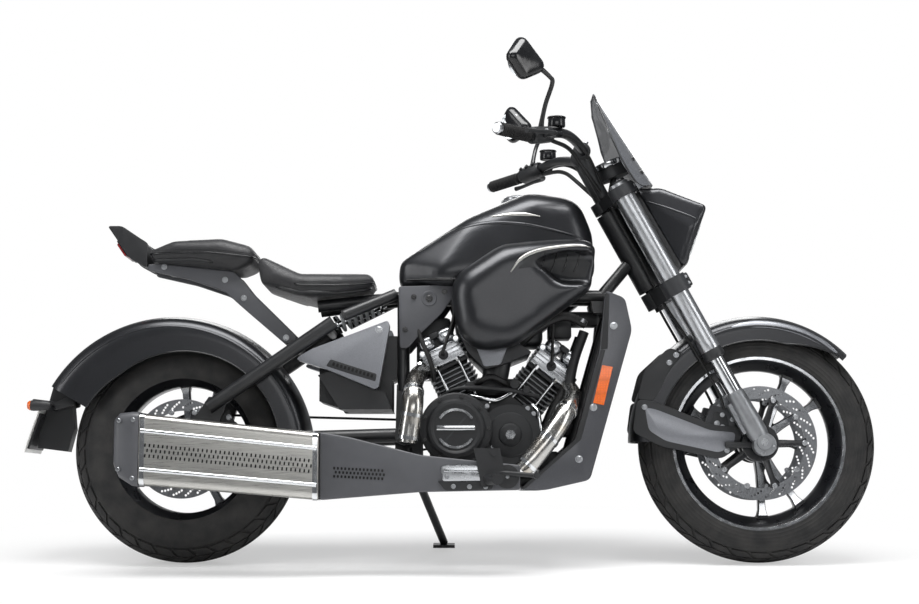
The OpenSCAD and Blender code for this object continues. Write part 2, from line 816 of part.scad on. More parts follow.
function front_fender_r() = front_tyre_r + front_fender_gap + fender_wall;
module front_fender() {
    w = front_fender_half_w;
    r = front_fender_r();
    t = fender_wall;
    section = [
        [r - 72, w], [r - 34, w], [r - 16, w - 12], [r - 4, w - 34], [r, 0], [r - 4, -w + 34], [r - 16, -w + 12],
        [r - 34, -w], [r - 72, -w], [r - 72, -w + t], [r - 34 - t / 2, -w + t], [r - 16 - t, -w + 14],
        [r - 4 - t, -w + 35], [r - t, 0], [r - 4 - t, w - 35], [r - 16 - t, w - 14], [r - 34 - t / 2, w - t],
        [r - 72, w - t]
    ];
    color("#3a3b3f") bike() translate([wheelbase, 0, front_axle_z]) rotate([90, 0, 0])
        rotate([0, 0, 44]) rotate_extrude(angle = 136, $fn = 128) polygon(section);
}

module fender_brackets() {
    y0 = front_fender_half_w + fit;
    color("#8f9196") bike() both_sides() {
        // Lower side panel behind each leg
        plate([[1164, 340], [1236, 303], [1392, 269], [1440, 300], [1450, 352], [1372, 358], [1222, 420],
               [1176, 425]], y0, y0 + 5);
        plate([[1176, 425], [1222, 420], [1262, 500], [1300, 545], [1262, 560], [1196, 500]], y0, y0 + 5);
        translate([1404, y0 + 4, 298]) cube([wheelbase + 6 * sin(rake) - 30 - fit - 1404, 14, 16]);
    }
}

cowl_gap = 42;     // place of the cowl's rear face ahead of the fork legs
cowl_top = fork_point(cowl_gap, 0, 780);
cowl_foot = fork_point(cowl_gap, 0, 440);
module headlamp_cowl() {
    color("#3a3b3f") bike() difference() {
        hull() {
            lump(1196, 963, 22, 76);
            lump(1245, 968, 16, 84);
            lump(1352, 925, 10, 112);
            lump(1322, 872, 14, 118);
            lump(1296, 790, 20, 104);
            lump(1280, 784, 22, 76);
        }
        plate([[1330, 900], [1400, 920], [1400, 780], [1306, 800]], -92, 92);
        plate([[1100, 1010], [cowl_top[0], cowl_top[2]], [cowl_foot[0], cowl_foot[2]], [1230, 700], [1100, 900]], -140, 140);
    }
}

module headlamp() {
    color("#d9e2ea", 0.8) bike()
        plate([[1307, 804 + fit], [1336, 888], [1350, 884], [1322, 804 + fit]], -92 + fit, 92 - fit);
}

screen_r = 230;
module windscreen() {
    foot = [1196, 0, 1000];
    tilt = -32;
    color("#6d6f74", 0.6) bike() intersection() {
        translate(foot) rotate([0, tilt, 0]) translate([-screen_r + 30, 0, -40]) difference() {
            cylinder(h = 340, r = screen_r, $fn = 128);
            translate([0, 0, -1]) cylinder(h = 342, r = screen_r - 4, $fn = 128);
        }
        translate(foot) rotate([0, tilt, 0]) translate([-60, 0, 0]) rotate([90, 0, 90]) linear_extrude(140)
            polygon([[-150, -20], [-150, 60], [-128, 150], [-84, 240], [-40, 272], [40, 272], [84, 240],
                     [128, 150], [150, 60], [150, -20]]);
    }
}

module instrument_pod() {
    color("#202124") bike() {
        translate([1132, 0, 1022]) rotate([0, -22, 0]) {
            cylinder(h = 34, r = 44);
            translate([0, 0, 34]) difference() {
                cylinder(h = 10, r = 48);
                translate([0, 0, 4]) cylinder(h = 8, r = 42);
            }
        }
        // Bracket that also holds the foot of the screen
        rod(fork_point(-16, 0, yoke_top + yoke_top_h + 1.8), [1130, 0, 1026], 8);
        rod([1130, 0, 1008], [1200, 0, 1003.4], 7);
        rod([1201.5, -70, 1003.4], [1201.5, 70, 1003.4], 8);
    }
}

module handlebar() {
    color("#1b1c20") bike() {
        both_sides() {
            tube(bar_path, bar_r);
            rod([893, 285, 1079], [815, grip_end_y - 14, 1072.7], bar_r - 2.5);
        }
        for (y = [-48, 48]) {
            rod(fork_point(-fork_offset + 6, y, yoke_top + yoke_top_h + 1), [1040, y, 1085], 15);
            disc_y(1040, 1085, 24, y - 16, y + 16);
        }
    }
}

module grips() {
    color("#151517") bike() both_sides() difference() {
        rod(grip_start, grip_end, grip_r);
        rod([893, 285, 1079], [815, grip_end_y - 14, 1072.7], bar_r - 2.2);
    }
}

// Point between two places of the bar's last bend and the grip
function on_bar(t) = bar_path[2] + (bar_path[3] - bar_path[2]) * t;
module hand_controls() {
    color("#26272a") bike() both_sides() difference() {
        union() {
            rod(on_bar(0.36), on_bar(0.96), 25);
            // Reservoir and lever
            translate(on_bar(0.42) + [18, -14, 22]) cylinder(h = 26, r = 24);
            rod(on_bar(0.42) + [10, -8, 0], on_bar(0.42) + [18, -14, 26], 14);
            rod(on_bar(0.8) + [10, 6, 0], [955, 308, 1080], 7);
            rod([955, 308, 1080], [884, 404, 1068], 5.5);
        }
        rod(on_bar(-0.1), on_bar(1.1), bar_r + fit);
    }
}

module mirrors() {
    base = on_bar(0.68) + [0, 0, 25 + 1.6];
    color("#151517") bike() both_sides() {
        rod(base, [930, 266, 1150], 6.5);
        rod([930, 266, 1147], [948, 330, 1204], 6);
        rod([948, 330, 1204], [914, 362, 1238], 6);
        translate([948, 330, 1204]) sphere(r = 6.2);
        translate([930, 266, 1148]) sphere(r = 6.8);
        hull() {
            translate([905, 362, 1240]) sphere(r = 22, $fn = 24);
            translate([872, 385, 1216]) sphere(r = 18, $fn = 24);
            translate([868, 382, 1288]) sphere(r = 20, $fn = 24);
            translate([846, 412, 1250]) sphere(r = 18, $fn = 24);
        }
    }
}

module front_calipers() {
    color("#3b3c40") bike() both_sides() difference() {
        plate([[1350, 352], [1386, 296], [1420, 318], [1432, 362], [1420, 400], [1370, 410]],
              front_disc_y - 12, front_fender_half_w);
        disc_y(wheelbase, front_axle_z, front_disc_r + 5, front_disc_y - disc_room, front_disc_y + disc_room);
    }
}

// ---- Wheels ----

flange_h = 14;   // height of a rim's flange over the bead

// crown: radius of the tyre's round section; ring: radius of its middle; bead and rim width
module tyre(x, z, ring, crown, bead_r, rim_half) {
    bead_w = rim_half - fit;
    section = concat(
        [[bead_r + fit, bead_w], [bead_r + flange_h + 2, bead_w]],
        [for (a = [84 : -6 : -84]) [ring + crown * cos(a), crown * sin(a)]],
        [[bead_r + flange_h + 2, -bead_w], [bead_r + fit, -bead_w]]
    );
    translate([x, 0, z]) rotate([90, 0, 0]) rotate_extrude($fn = 160) polygon(section);
}

module rim(x, z, bead_r, half, hub_r, hub_half, first) {
    barrel = [
        [bead_r + flange_h, -half - 8], [bead_r + flange_h, -half], [bead_r, -half], [bead_r, -half + 14],
        [bead_r - 16, -half + 22], [bead_r - 16, half - 22], [bead_r, half - 14], [bead_r, half],
        [bead_r + flange_h, half], [bead_r + flange_h, half + 8], [bead_r - 4, half + 4], [bead_r - 10, half - 14],
        [bead_r - 24, half - 24], [bead_r - 24, -half + 24], [bead_r - 10, -half + 14], [bead_r - 4, -half - 4]
    ];
    difference() {
        union() {
            turned(x, z, barrel);
            disc_y(x, z, hub_r, -hub_half, hub_half);
            disc_y(x, z, hub_r + 14, -16, 16);
            for (pair = [0 : 2]) for (side = [-1, 1]) {
                a = first + 120 * pair + side * spoke_spread;
                root = first + 120 * pair + side * 4;
                // Spoke from its root on the hub to the barrel
                translate([x, 14, z]) rotate([90, 0, 0]) linear_extrude(28) polygon([
                    hub_r * [cos(root - 9), sin(root - 9)] * 0.9,
                    (bead_r - 20) * [cos(a), sin(a)] + spoke_w / 2 * [sin(a), -cos(a)],
                    (bead_r - 20) * [cos(a), sin(a)] + spoke_w / 2 * [-sin(a), cos(a)],
                    hub_r * [cos(root + 9), sin(root + 9)] * 0.9
                ]);
            }
        }
        disc_y(x, z, axle_r + run_fit, -hub_half - 1, hub_half + 1);
    }
}

module brake_disc(x, z, r, y, reach) {
    difference() {
        disc_y(x, z, r, y - disc_t / 2, y + disc_t / 2);
        for (k = [0 : 9]) rotate([0, 0, 0]) translate([x, 0, z]) rotate([0, k * 36, 0])
            translate([r * 0.56, y, 0]) rotate([90, 0, 0]) cylinder(h = disc_t + 2, r = r * 0.12, center = true);
        disc_y(x, z, reach, y - disc_t, y + disc_t);
    }
}

front_rim_half = 45;
front_hub_half = 66;
front_disc_y = 66;
front_hub_r = 40;
module front_tyre() {
    color("#1a1a1b") bike() tyre(wheelbase, front_axle_z, front_ring_r, front_crown_r, front_bead_r, front_rim_half);
}
module front_rim() {
    color("#1b1c20") bike()
        rim(wheelbase, front_axle_z, front_bead_r, front_rim_half, front_hub_r, front_hub_half, front_spoke_angle);
}
module front_discs() {
    color("#a6a8ab") bike() both_sides()
        brake_disc(wheelbase, front_axle_z, front_disc_r, front_disc_y, front_hub_r);
}

rear_rim_half = 62;
rear_hub_half = 92;
rear_disc_y = 98;
rear_hub_r = 46;
module rear_tyre() {
    color("#1a1a1b") bike() tyre(0, rear_axle_z, rear_ring_r, rear_crown_r, rear_bead_r, rear_rim_half);
}
module rear_rim() {
    color("#1b1c20") bike()
        rim(0, rear_axle_z, rear_bead_r, rear_rim_half, rear_hub_r, rear_hub_half, rear_spoke_angle);
}
module rear_disc() {
    color("#a6a8ab") bike() {
        brake_disc(0, rear_axle_z, rear_disc_r, -rear_disc_y, 30);
        difference() {
            disc_y(0, rear_axle_z, 40, -rear_disc_y - disc_t / 2, -rear_hub_half);
            disc_y(0, rear_axle_z, axle_r + run_fit, -120, -80);
        }
    }
}
module rear_pulley() {
    color("#26272a") bike() difference() {
        union() {
            disc_y(0, rear_axle_z, pulley_r, belt_y - belt_w / 2, belt_y + belt_w / 2);
            disc_y(0, rear_axle_z, 40, rear_hub_half, belt_y);
        }
        disc_y(0, rear_axle_z, axle_r + run_fit, 80, 120);
        for (k = [0 : 4]) translate([0, 0, rear_axle_z]) rotate([0, k * 72, 0])
            translate([62, belt_y, 0]) rotate([90, 0, 0]) cylinder(h = 40, r = 17, center = true);
    }
}

// ---- Side stand ----

stand_foot = [672, 296];           // x and y of its foot
stand_foot_t = 8;
stand_eye_r = 15;
stand_eye = stand_pivot + [0, stand_eye_r + fit, -12];
function floor_z(y) = y * tan(lean);
stand_foot_at = [stand_foot[0], stand_foot[1], floor_z(stand_foot[1])];
module side_stand() {
    color("#26272a") bike() {
        rod(stand_eye, stand_foot_at + [0, 0, stand_foot_t + 4], 11);
        translate(stand_eye) sphere(r = stand_eye_r);
        translate(stand_foot_at) rotate([lean, 0, 0]) translate([-30, -22, 0]) cube([60, 44, stand_foot_t]);
    }
}

frame();
frame_cradle();
swingarm();
rear_shock();
fuel_tank();
side_cowls();
side_covers();
battery_box();
radiator();
radiator_shrouds();
side_reflectors();
crankcase();
front_cylinder();
rear_cylinder();
clutch_cover();
alternator_cover();
intake_cover();
front_exhaust_pipe();
rear_exhaust_pipe();
exhaust_box();
muffler();
muffler_end_cap();
rider_seat();
pillion_seat();
seat_support();
tail_hoop();
tail_lamp();
rear_fender();
plate_bracket();
number_plate();
rear_indicators();
footrests();
rear_caliper();
drive_belt();
rear_axle();
steering_yokes();
fork_legs();
front_axle();
front_fender();
fender_brackets();
headlamp_cowl();
headlamp();
windscreen();
instrument_pod();
handlebar();
grips();
hand_controls();
mirrors();
front_calipers();
front_tyre();
front_rim();
front_discs();
rear_tyre();
rear_rim();
rear_disc();
rear_pulley();
side_stand();
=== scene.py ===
"""Cruiser motorcycle: the visible model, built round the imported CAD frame.

Every size is in millimetres in the upright bike's own frame (x forward from the rear axle, y left, z up)
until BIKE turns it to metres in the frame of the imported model."""

import math
import random

import bmesh
import bpy
from mathutils import Matrix, Vector
from mathutils.bvhtree import BVHTree


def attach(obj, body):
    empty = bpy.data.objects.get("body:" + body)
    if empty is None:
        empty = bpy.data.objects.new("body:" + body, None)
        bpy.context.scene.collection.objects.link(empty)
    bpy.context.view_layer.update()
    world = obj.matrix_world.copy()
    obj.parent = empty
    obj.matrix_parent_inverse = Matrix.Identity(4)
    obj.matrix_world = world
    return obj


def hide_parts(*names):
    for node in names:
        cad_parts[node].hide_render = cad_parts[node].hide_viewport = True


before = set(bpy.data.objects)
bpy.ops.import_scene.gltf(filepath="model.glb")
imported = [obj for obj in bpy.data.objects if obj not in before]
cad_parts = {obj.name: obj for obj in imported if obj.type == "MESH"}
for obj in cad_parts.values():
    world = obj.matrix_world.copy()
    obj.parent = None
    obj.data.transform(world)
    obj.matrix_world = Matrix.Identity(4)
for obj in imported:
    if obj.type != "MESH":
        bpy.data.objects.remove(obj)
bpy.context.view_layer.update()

bl_info = {
    "name": "Cruiser Motorcycle",
    "version": (1, 0, 0),
    "blender": (4, 5, 0),
    "location": "View3D > Sidebar > Motorcycle",
    "description": "Builds the visible cruiser motorcycle round its CAD frame",
    "category": "Object",
}

# The bike's own dimensions, in mm and degrees, the same as its CAD source has.
WHEELBASE, RAKE, LEAN = 1497, 28.5, 6.5
FRONT_AXLE_Z, REAR_AXLE_Z = 311.43, 295.57
ORIGIN_X, ORIGIN_Y = 698, 124
BIKE = (
    Matrix.Diagonal((0.001, 0.001, 0.001, 1))
    @ Matrix.Translation((-ORIGIN_X, -ORIGIN_Y, 0))
    @ Matrix.Rotation(math.radians(-LEAN), 4, "X")
)
FRONT = BIKE @ Matrix.Translation((WHEELBASE, 0, FRONT_AXLE_Z))
REAR = BIKE @ Matrix.Translation((0, 0, REAR_AXLE_Z))
FORK = FRONT @ Matrix.Rotation(math.radians(-RAKE), 4, "Y")


# ---------------------------------------------------------------- mesh helpers


def mesh_object(name, verts, faces, place=BIKE):
    """A mesh object at the origin whose points are moved to their place, with its normals outwards."""
    data = bpy.data.meshes.new(name)
    data.from_pydata([place @ Vector(v) for v in verts], [], faces)
    obj = bpy.data.objects.new(name, data)
    bpy.context.collection.objects.link(obj)
    tidy(obj)
    return obj


def tidy(obj, merge=1e-6):
    """Merge doubles and turn every face outwards."""
    bm = bmesh.new()
    bm.from_mesh(obj.data)
    bmesh.ops.remove_doubles(bm, verts=bm.verts, dist=merge)
    bmesh.ops.dissolve_degenerate(bm, edges=bm.edges, dist=1e-7)
    bmesh.ops.recalc_face_normals(bm, faces=bm.faces)
    bm.to_mesh(obj.data)
    bm.free()
    obj.data.update()


def bake(obj):
    """Turn the object with its modifiers into a plain mesh."""
    bpy.context.view_layer.update()
    graph = bpy.context.evaluated_depsgraph_get()
    data = bpy.data.meshes.new_from_object(obj.evaluated_get(graph))
    obj.modifiers.clear()
    obj.data = data
    return obj


def bevel(obj, width, segments=2, angle=35):
    """Round the edges by width in mm and bake the result."""
    mod = obj.modifiers.new("Edges", "BEVEL")
    mod.width, mod.segments = width * 0.001, segments
    mod.limit_method, mod.angle_limit = "ANGLE", math.radians(angle)
    mod.harden_normals = False
    return bake(obj)


def subdivide(obj, levels=1):
    mod = obj.modifiers.new("Smooth", "SUBSURF")
    mod.levels = mod.render_levels = levels
    return bake(obj)


def shade(obj, angle=35):
    """Smooth shading, with creases kept sharp past the angle."""
    data = obj.data
    for face in data.polygons:
        face.use_smooth = True
    bm = bmesh.new()
    bm.from_mesh(data)
    limit = math.radians(angle)
    for edge in bm.edges:
        edge.smooth = (
            len(edge.link_faces) == 2 and edge.calc_face_angle(0) < limit
        )
    bm.to_mesh(data)
    bm.free()
    return obj


def finish(obj, body, material, replaces=(), angle=35):
    """Shade the piece, give it its material, tie it to its CAD body, and hide the CAD nodes that it replaces."""
    shade(obj, angle)
    obj.data.materials.clear()
    obj.data.materials.append(MATERIALS[material])
    for face in obj.data.polygons:
        face.material_index = 0
    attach(obj, body)
    if replaces:
        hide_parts(*replaces)
    return obj


def join(name, objects):
    """Join several meshes into one object of that name."""
    bm = bmesh.new()
    for obj in objects:
        bm.from_mesh(obj.data)
    data = bpy.data.meshes.new(name)
    bm.to_mesh(data)
    bm.free()
    for obj in objects:
        bpy.data.objects.remove(obj)
    joined = bpy.data.objects.new(name, data)
    bpy.context.collection.objects.link(joined)
    return joined


def loft(name, rings, place=BIKE, closed=True, caps=True):
    """A skin over rings of points with the same count."""
    count, verts, faces = len(rings[0]), [p for ring in rings for p in ring], []
    for i in range(len(rings) - 1):
        for j in range(count if closed else count - 1):
            a, b = i * count + j, i * count + (j + 1) % count
            faces.append((a, b, b + count, a + count))
    if caps and closed:
        faces.append(tuple(reversed(range(count))))
        faces.append(tuple(range(len(verts) - count, len(verts))))
    return mesh_object(name, verts, faces, place)


def spin(name, profile, place, steps=96, closed=False, start=0, turn=360):
    """Turn a profile of (radius, y) points round the y axis."""
    full = turn == 360
    rings = []
    for i in range(steps if full else steps + 1):
        a = math.radians(start + turn * i / steps)
        rings.append([(r * math.cos(a), y, r * math.sin(a)) for r, y in profile])
    if full:
        rings.append(rings[0])
    return loft(name, rings, place, closed=closed, caps=closed and not full)


def curve_through(points, steps=8):
    """Points of a smooth curve that passes through the given ones."""
    pts = [Vector(p) for p in points]
    pts = [2 * pts[0] - pts[1], *pts, 2 * pts[-1] - pts[-2]]
    out = []
    for i in range(1, len(pts) - 2):
        p0, p1, p2, p3 = pts[i - 1 : i + 3]
        for k in range(steps):
            t = k / steps
            out.append(
                0.5
                * (
                    2 * p1
                    + (p2 - p0) * t
                    + (2 * p0 - 5 * p1 + 4 * p2 - p3) * t * t
                    + (3 * p1 - p0 - 3 * p2 + p3) * t**3
                )
            )
    out.append(pts[-2])
    return out


def frames_along(path):
    """A turning-free frame (side, up) at each point of a path."""
    out, side = [], None
    for i in range(len(path)):
        ahead = (path[min(i + 1, len(path) - 1)] - path[max(i - 1, 0)]).normalized()
        if side is None:
            ref = Vector((0, 0, 1)) if abs(ahead.z) < 0.9 else Vector((1, 0, 0))
            side = ahead.cross(ref).normalized()
        side = (side - ahead * side.dot(ahead)).normalized()
        out.append((side, ahead.cross(side)))
    return out


def tube(name, points, radius, place=BIKE, sides=20, steps=8, smooth=True):
    """A tube along a path; radius is one number or one for each given point."""
    path = curve_through(points, steps) if smooth else [Vector(p) for p in points]
    if isinstance(radius, (int, float)):
        radii = [radius] * len(path)
    else:
        radii = [v.x for v in curve_through([(r, 0, 0) for r in radius], steps)]
        if not smooth:
            radii = list(radius)
    rings = []
    for p, (side, up), r in zip(path, frames_along(path), radii):
        rings.append(
            [
                p + r * (math.cos(a) * side + math.sin(a) * up)
                for a in (math.tau * k / sides for k in range(sides))
            ]
        )
    return loft(name, rings, place)


def plate(name, outline, y0, y1, place=BIKE, round_by=0, segments=2):
    """A flat plate with an outline of (x, z) points from y0 to y1, its edges rounded by round_by mm."""
    obj = loft(name, [[(x, y, z) for x, z in outline] for y in (y0, y1)], place)
    return bevel(obj, round_by, segments) if round_by else obj


def slab(name, outline, middle, half, *more, **options):
    """A plate that reaches half its thickness each way from a middle plane."""
    return plate(name, outline, middle - half, middle + half, *more, **options)


def rounded(outline, radius, steps=5):
    """An outline of (x, z) points with its corners rounded."""
    out, n = [], len(outline)
    for i in range(n):
        a, p, b = (Vector(outline[(i + k) % n]) for k in (-1, 0, 1))
        r = min(radius, 0.45 * (a - p).length, 0.45 * (b - p).length)
        s, e = p + (a - p).normalized() * r, p + (b - p).normalized() * r
        for k in range(steps + 1):
            t = k / steps
            q = (1 - t) ** 2 * s + 2 * t * (1 - t) * p + t * t * e
            out.append((q.x, q.y))
    return out


def box(name, centre, size, place=BIKE, round_by=2, segments=2):
    x, y, z = centre
    a, b, c = (v / 2 for v in size)
    outline = [(x - a, z - c), (x + a, z - c), (x + a, z + c), (x - a, z + c)]
    return plate(name, outline, y - b, y + b, place, round_by, segments)


def rod(name, start, end, radius, place=BIKE, sides=24, edge=0):
    """A round bar between two points, its ends rounded by edge mm."""
    obj = tube(name, [start, end], radius, place, sides, smooth=False)
    return bevel(obj, edge, 2, 60) if edge else obj


def blob(name, spheres, voxel=3, rounds=12):
    """A smooth lump: the hull of some spheres (x, y, z, radius), its facets worn away."""
    bm = bmesh.new()
    for x, y, z, r in spheres:
        at = BIKE @ Matrix.Translation((x, y, z)) @ Matrix.Diagonal((r, r, r, 1))
        bmesh.ops.create_icosphere(bm, subdivisions=4, radius=1, matrix=at)
    hull = bmesh.ops.convex_hull(bm, input=bm.verts)
    loose = [v for v in bm.verts if not any(v in f.verts for f in v.link_faces)]
    inside = set(hull["geom_interior"]) | set(loose)
    bmesh.ops.delete(bm, geom=[g for g in inside if isinstance(g, bmesh.types.BMVert)], context="VERTS")
    data = bpy.data.meshes.new(name)
    bm.to_mesh(data)
    bm.free()
    obj = bpy.data.objects.new(name, data)
    bpy.context.collection.objects.link(obj)
    return worn(obj, voxel, rounds)


def worn(obj, voxel, rounds):
    """Remesh a closed piece with small even faces and smooth them."""
    mod = obj.modifiers.new("Skin", "REMESH")
    mod.mode, mod.voxel_size, mod.use_smooth_shade = "VOXEL", voxel * 0.001, True
    mod = obj.modifiers.new("Wear", "SMOOTH")
    mod.factor, mod.iterations = 0.5, rounds
    return bake(obj)


def softened(name, node, voxel=7, rounds=6, levels=1):
    """A smooth skin with the volume of a CAD node, whose facets are worn away."""
    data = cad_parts[node].data.copy()
    obj = bpy.data.objects.new(name, data)
    bpy.context.collection.objects.link(obj)
    data.materials.clear()
    tidy(obj, 2e-5)
    worn(obj, voxel, rounds)
    if levels:
        subdivide(obj, levels)
    return obj


# ---------------------------------------------------------------- materials


def linear(hex_colour):
    """An sRGB hex colour as linear red, green, blue, alpha."""
    out = []
    for i in (1, 3, 5):
        c = int(hex_colour[i : i + 2], 16) / 255
        out.append(c / 12.92 if c <= 0.04045 else ((c + 0.055) / 1.055) ** 2.4)
    return (*out, 1.0)


def add(tree, kind, values=None, links=None, **settings):
    """Add one node: settings are its attributes, values its sockets' numbers, links what feeds its sockets."""
    new = tree.nodes.new(kind)
    for key, value in settings.items():
        setattr(new, key, value)
    for key, value in (values or {}).items():
        new.inputs[key].default_value = value
    for key, value in (links or {}).items():
        tree.links.new(value, new.inputs[key])
    return new


def blank(name):
    """A new material, its tree with a shader and an output, and its Object coordinates."""
    mat = bpy.data.materials.new(name)
    mat.use_nodes = True
    tree = mat.node_tree
    tree.nodes.clear()
    shader = add(tree, "ShaderNodeBsdfPrincipled")
    add(tree, "ShaderNodeOutputMaterial", links={"Surface": shader.outputs[0]})
    place = add(tree, "ShaderNodeTexCoord")
    return mat, tree, shader, place.outputs["Object"]


def spots(tree, place, size_mm, detail=2.0, roughness=0.5, stretch=(1, 1, 1), turn=(0, 0, 0)):
    """Noise whose grain is size_mm across; the frame is in metres, so the scale is 1000 over that."""
    turned = add(
        tree,
        "ShaderNodeMapping",
        {"Scale": stretch, "Rotation": [math.radians(a) for a in turn]},
        {"Vector": place},
    )
    noise = add(
        tree,
        "ShaderNodeTexNoise",
        {"Scale": 1000 / size_mm, "Detail": detail, "Roughness": roughness},
        {"Vector": turned.outputs[0]},
    )
    return noise.outputs["Fac"]


def between(tree, factor, low, high, start=0.3, end=0.7):
    """A number that goes from low to high as the factor goes from start to end."""
    return add(
        tree,
        "ShaderNodeMapRange",
        {"From Min": start, "From Max": end, "To Min": low, "To Max": high},
        {"Value": factor},
    ).outputs[0]


def blend_colour(tree, factor, first, second):
    """A colour from first to second by the factor."""
    mix = add(tree, "ShaderNodeMix", data_type="RGBA")
    mix.inputs[6].default_value, mix.inputs[7].default_value = first, second
    tree.links.new(factor, mix.inputs[0])
    return mix.outputs[2]


def relief(tree, shader, height, depth_mm, strength=1.0):
    """Bump of a real depth in mm."""
    bump = add(
        tree,
        "ShaderNodeBump",
        {"Strength": strength, "Distance": depth_mm * 0.001},
        {"Height": height},
    )
    tree.links.new(bump.outputs[0], shader.inputs["Normal"])


def edge_highlight_mask(tree):
    """1 on outer edges and 0 elsewhere, from the surface's pointiness: where the painted edge highlight goes."""
    geometry = add(tree, "ShaderNodeNewGeometry")
    return between(tree, geometry.outputs["Pointiness"], 0, 1, 0.53, 0.62)


def shaded(colour, factor):
    """A colour, hex or linear, made darker or lighter by a factor."""
    r, g, b, a = linear(colour) if isinstance(colour, str) else colour
    return (min(r * factor, 1), min(g * factor, 1), min(b * factor, 1), a)


def paint(name, colour, gloss, flake):
    """Two-pack metallic paint, sprayed: aluminium flake under a satin clear coat."""
    mat, tree, shader, place = blank(name)
    fleck = spots(tree, place, 0.9, 3)
    cloud = spots(tree, place, 60, 2)
    # Flake is 0.05 mm in life; it is drawn at about 1 mm so that it shows at all.
    tone = blend_colour(
        tree, between(tree, fleck, 0, 1, 0.35, 0.68), shaded(colour, 0.82), shaded(colour, 1.0 + flake)
    )
    tree.links.new(tone, shader.inputs["Base Color"])
    tree.links.new(between(tree, cloud, gloss - 0.02, gloss + 0.03), shader.inputs["Roughness"])
    shader.inputs["Metallic"].default_value = 0.7
    shader.inputs["Coat Weight"].default_value = 0.5
    shader.inputs["Coat Roughness"].default_value = 0.24
    relief(tree, shader, spots(tree, place, 2.5, 1), 0.01, 0.25)
    return mat


def powder_coat(name, colour, gloss=0.42):
    """Powder coat on steel, baked: an even satin skin with a fine orange peel."""
    mat, tree, shader, place = blank(name)
    peel, cloud = spots(tree, place, 1.6, 1), spots(tree, place, 35, 2)
    tone = blend_colour(tree, cloud, shaded(colour, 0.85), shaded(colour, 1.2))
    tree.links.new(tone, shader.inputs["Base Color"])
    tree.links.new(between(tree, cloud, gloss - 0.05, gloss + 0.06), shader.inputs["Roughness"])
    shader.inputs["Coat Weight"].default_value = 0.15
    shader.inputs["Coat Roughness"].default_value = 0.3
    relief(tree, shader, peel, 0.03, 0.4)
    return mat


def moulded(name, colour, gloss=0.48, grain_mm=0.9, depth_mm=0.03):
    """ABS or nylon, injection moulded in a spark-eroded tool: matt, with a fine even grain."""
    mat, tree, shader, place = blank(name)
    grain, cloud = spots(tree, place, grain_mm, 2), spots(tree, place, 25, 2)
    tone = blend_colour(tree, cloud, shaded(colour, 0.85), shaded(colour, 1.18))
    tree.links.new(tone, shader.inputs["Base Color"])
    tree.links.new(between(tree, cloud, gloss - 0.06, gloss + 0.07), shader.inputs["Roughness"])
    shader.inputs["IOR"].default_value = 1.5
    relief(tree, shader, grain, depth_mm, 0.5)
    return mat


def cast(name, colour, metallic, gloss, grain_mm=1.4, depth_mm=0.08):
    """Die-cast aluminium, painted or bare: a pebbly skin, with a painted highlight that makes its outer edges
    lighter.
    """
    mat, tree, shader, place = blank(name)
    grain, cloud = spots(tree, place, grain_mm, 3, 0.6), spots(tree, place, 18, 3)
    tone = blend_colour(tree, cloud, shaded(colour, 0.78), shaded(colour, 1.15))
    # Outer edges are painted up to 1.9 times lighter: a painted highlight along every edge.
    rubbed = blend_colour(tree, edge_highlight_mask(tree), (0, 0, 0, 1), shaded(colour, 1.9))
    mix = add(tree, "ShaderNodeMix", data_type="RGBA", blend_type="LIGHTEN")
    mix.inputs[0].default_value = 1.0
    tree.links.new(tone, mix.inputs[6])
    tree.links.new(rubbed, mix.inputs[7])
    tree.links.new(mix.outputs[2], shader.inputs["Base Color"])
    tree.links.new(between(tree, cloud, gloss - 0.06, gloss + 0.08), shader.inputs["Roughness"])
    shader.inputs["Metallic"].default_value = metallic
    relief(tree, shader, grain, depth_mm, 0.5)
    return mat


def brushed(name, colour, gloss, along, line_mm=0.9, contrast=0.16, tint=None):
    """Bare metal rubbed with grit one way: fine lines that run along the piece, and a soft long highlight."""
    mat, tree, shader, place = blank(name)
    # Grit lines are 0.1 mm apart in life and are drawn about ten times as wide.
    stretch = {"x": (0.02, 1, 1), "y": (1, 0.02, 1), "z": (1, 1, 0.02), "fork": (1, 1, 0.02)}[along]
    if along == "fork":
        base = add(
            tree, "ShaderNodeMapping", {"Rotation": (0, math.radians(RAKE), 0)}, {"Vector": place}
        )
        place = base.outputs[0]
    lines = spots(tree, place, line_mm, 3, 0.65, stretch)
    cloud = spots(tree, place, 45, 3)
    tone = blend_colour(
        tree, between(tree, lines, 0, 1), shaded(colour, 1 - contrast), shaded(colour, 1 + contrast)
    )
    if tint:
        tone2 = add(tree, "ShaderNodeMix", data_type="RGBA")
        tone2.inputs[7].default_value = linear(tint)
        tree.links.new(tone, tone2.inputs[6])
        tree.links.new(between(tree, cloud, 0, 0.5, 0.45, 0.75), tone2.inputs[0])
        tone = tone2.outputs[2]
    tree.links.new(tone, shader.inputs["Base Color"])
    tree.links.new(between(tree, lines, gloss - 0.06, gloss + 0.1), shader.inputs["Roughness"])
    shader.inputs["Metallic"].default_value = 1.0
    relief(tree, shader, lines, 0.02, 0.35)
    return mat


def polished(name, colour, gloss=0.16):
    """Metal turned or buffed to a shine, with faint cloudy marks of handling."""
    mat, tree, shader, place = blank(name)
    cloud, scratch = spots(tree, place, 22, 3), spots(tree, place, 1.2, 2)
    tone = blend_colour(tree, cloud, shaded(colour, 0.9), shaded(colour, 1.08))
    tree.links.new(tone, shader.inputs["Base Color"])
    tree.links.new(between(tree, cloud, gloss - 0.03, gloss + 0.1), shader.inputs["Roughness"])
    shader.inputs["Metallic"].default_value = 1.0
    relief(tree, shader, scratch, 0.01, 0.2)
    return mat


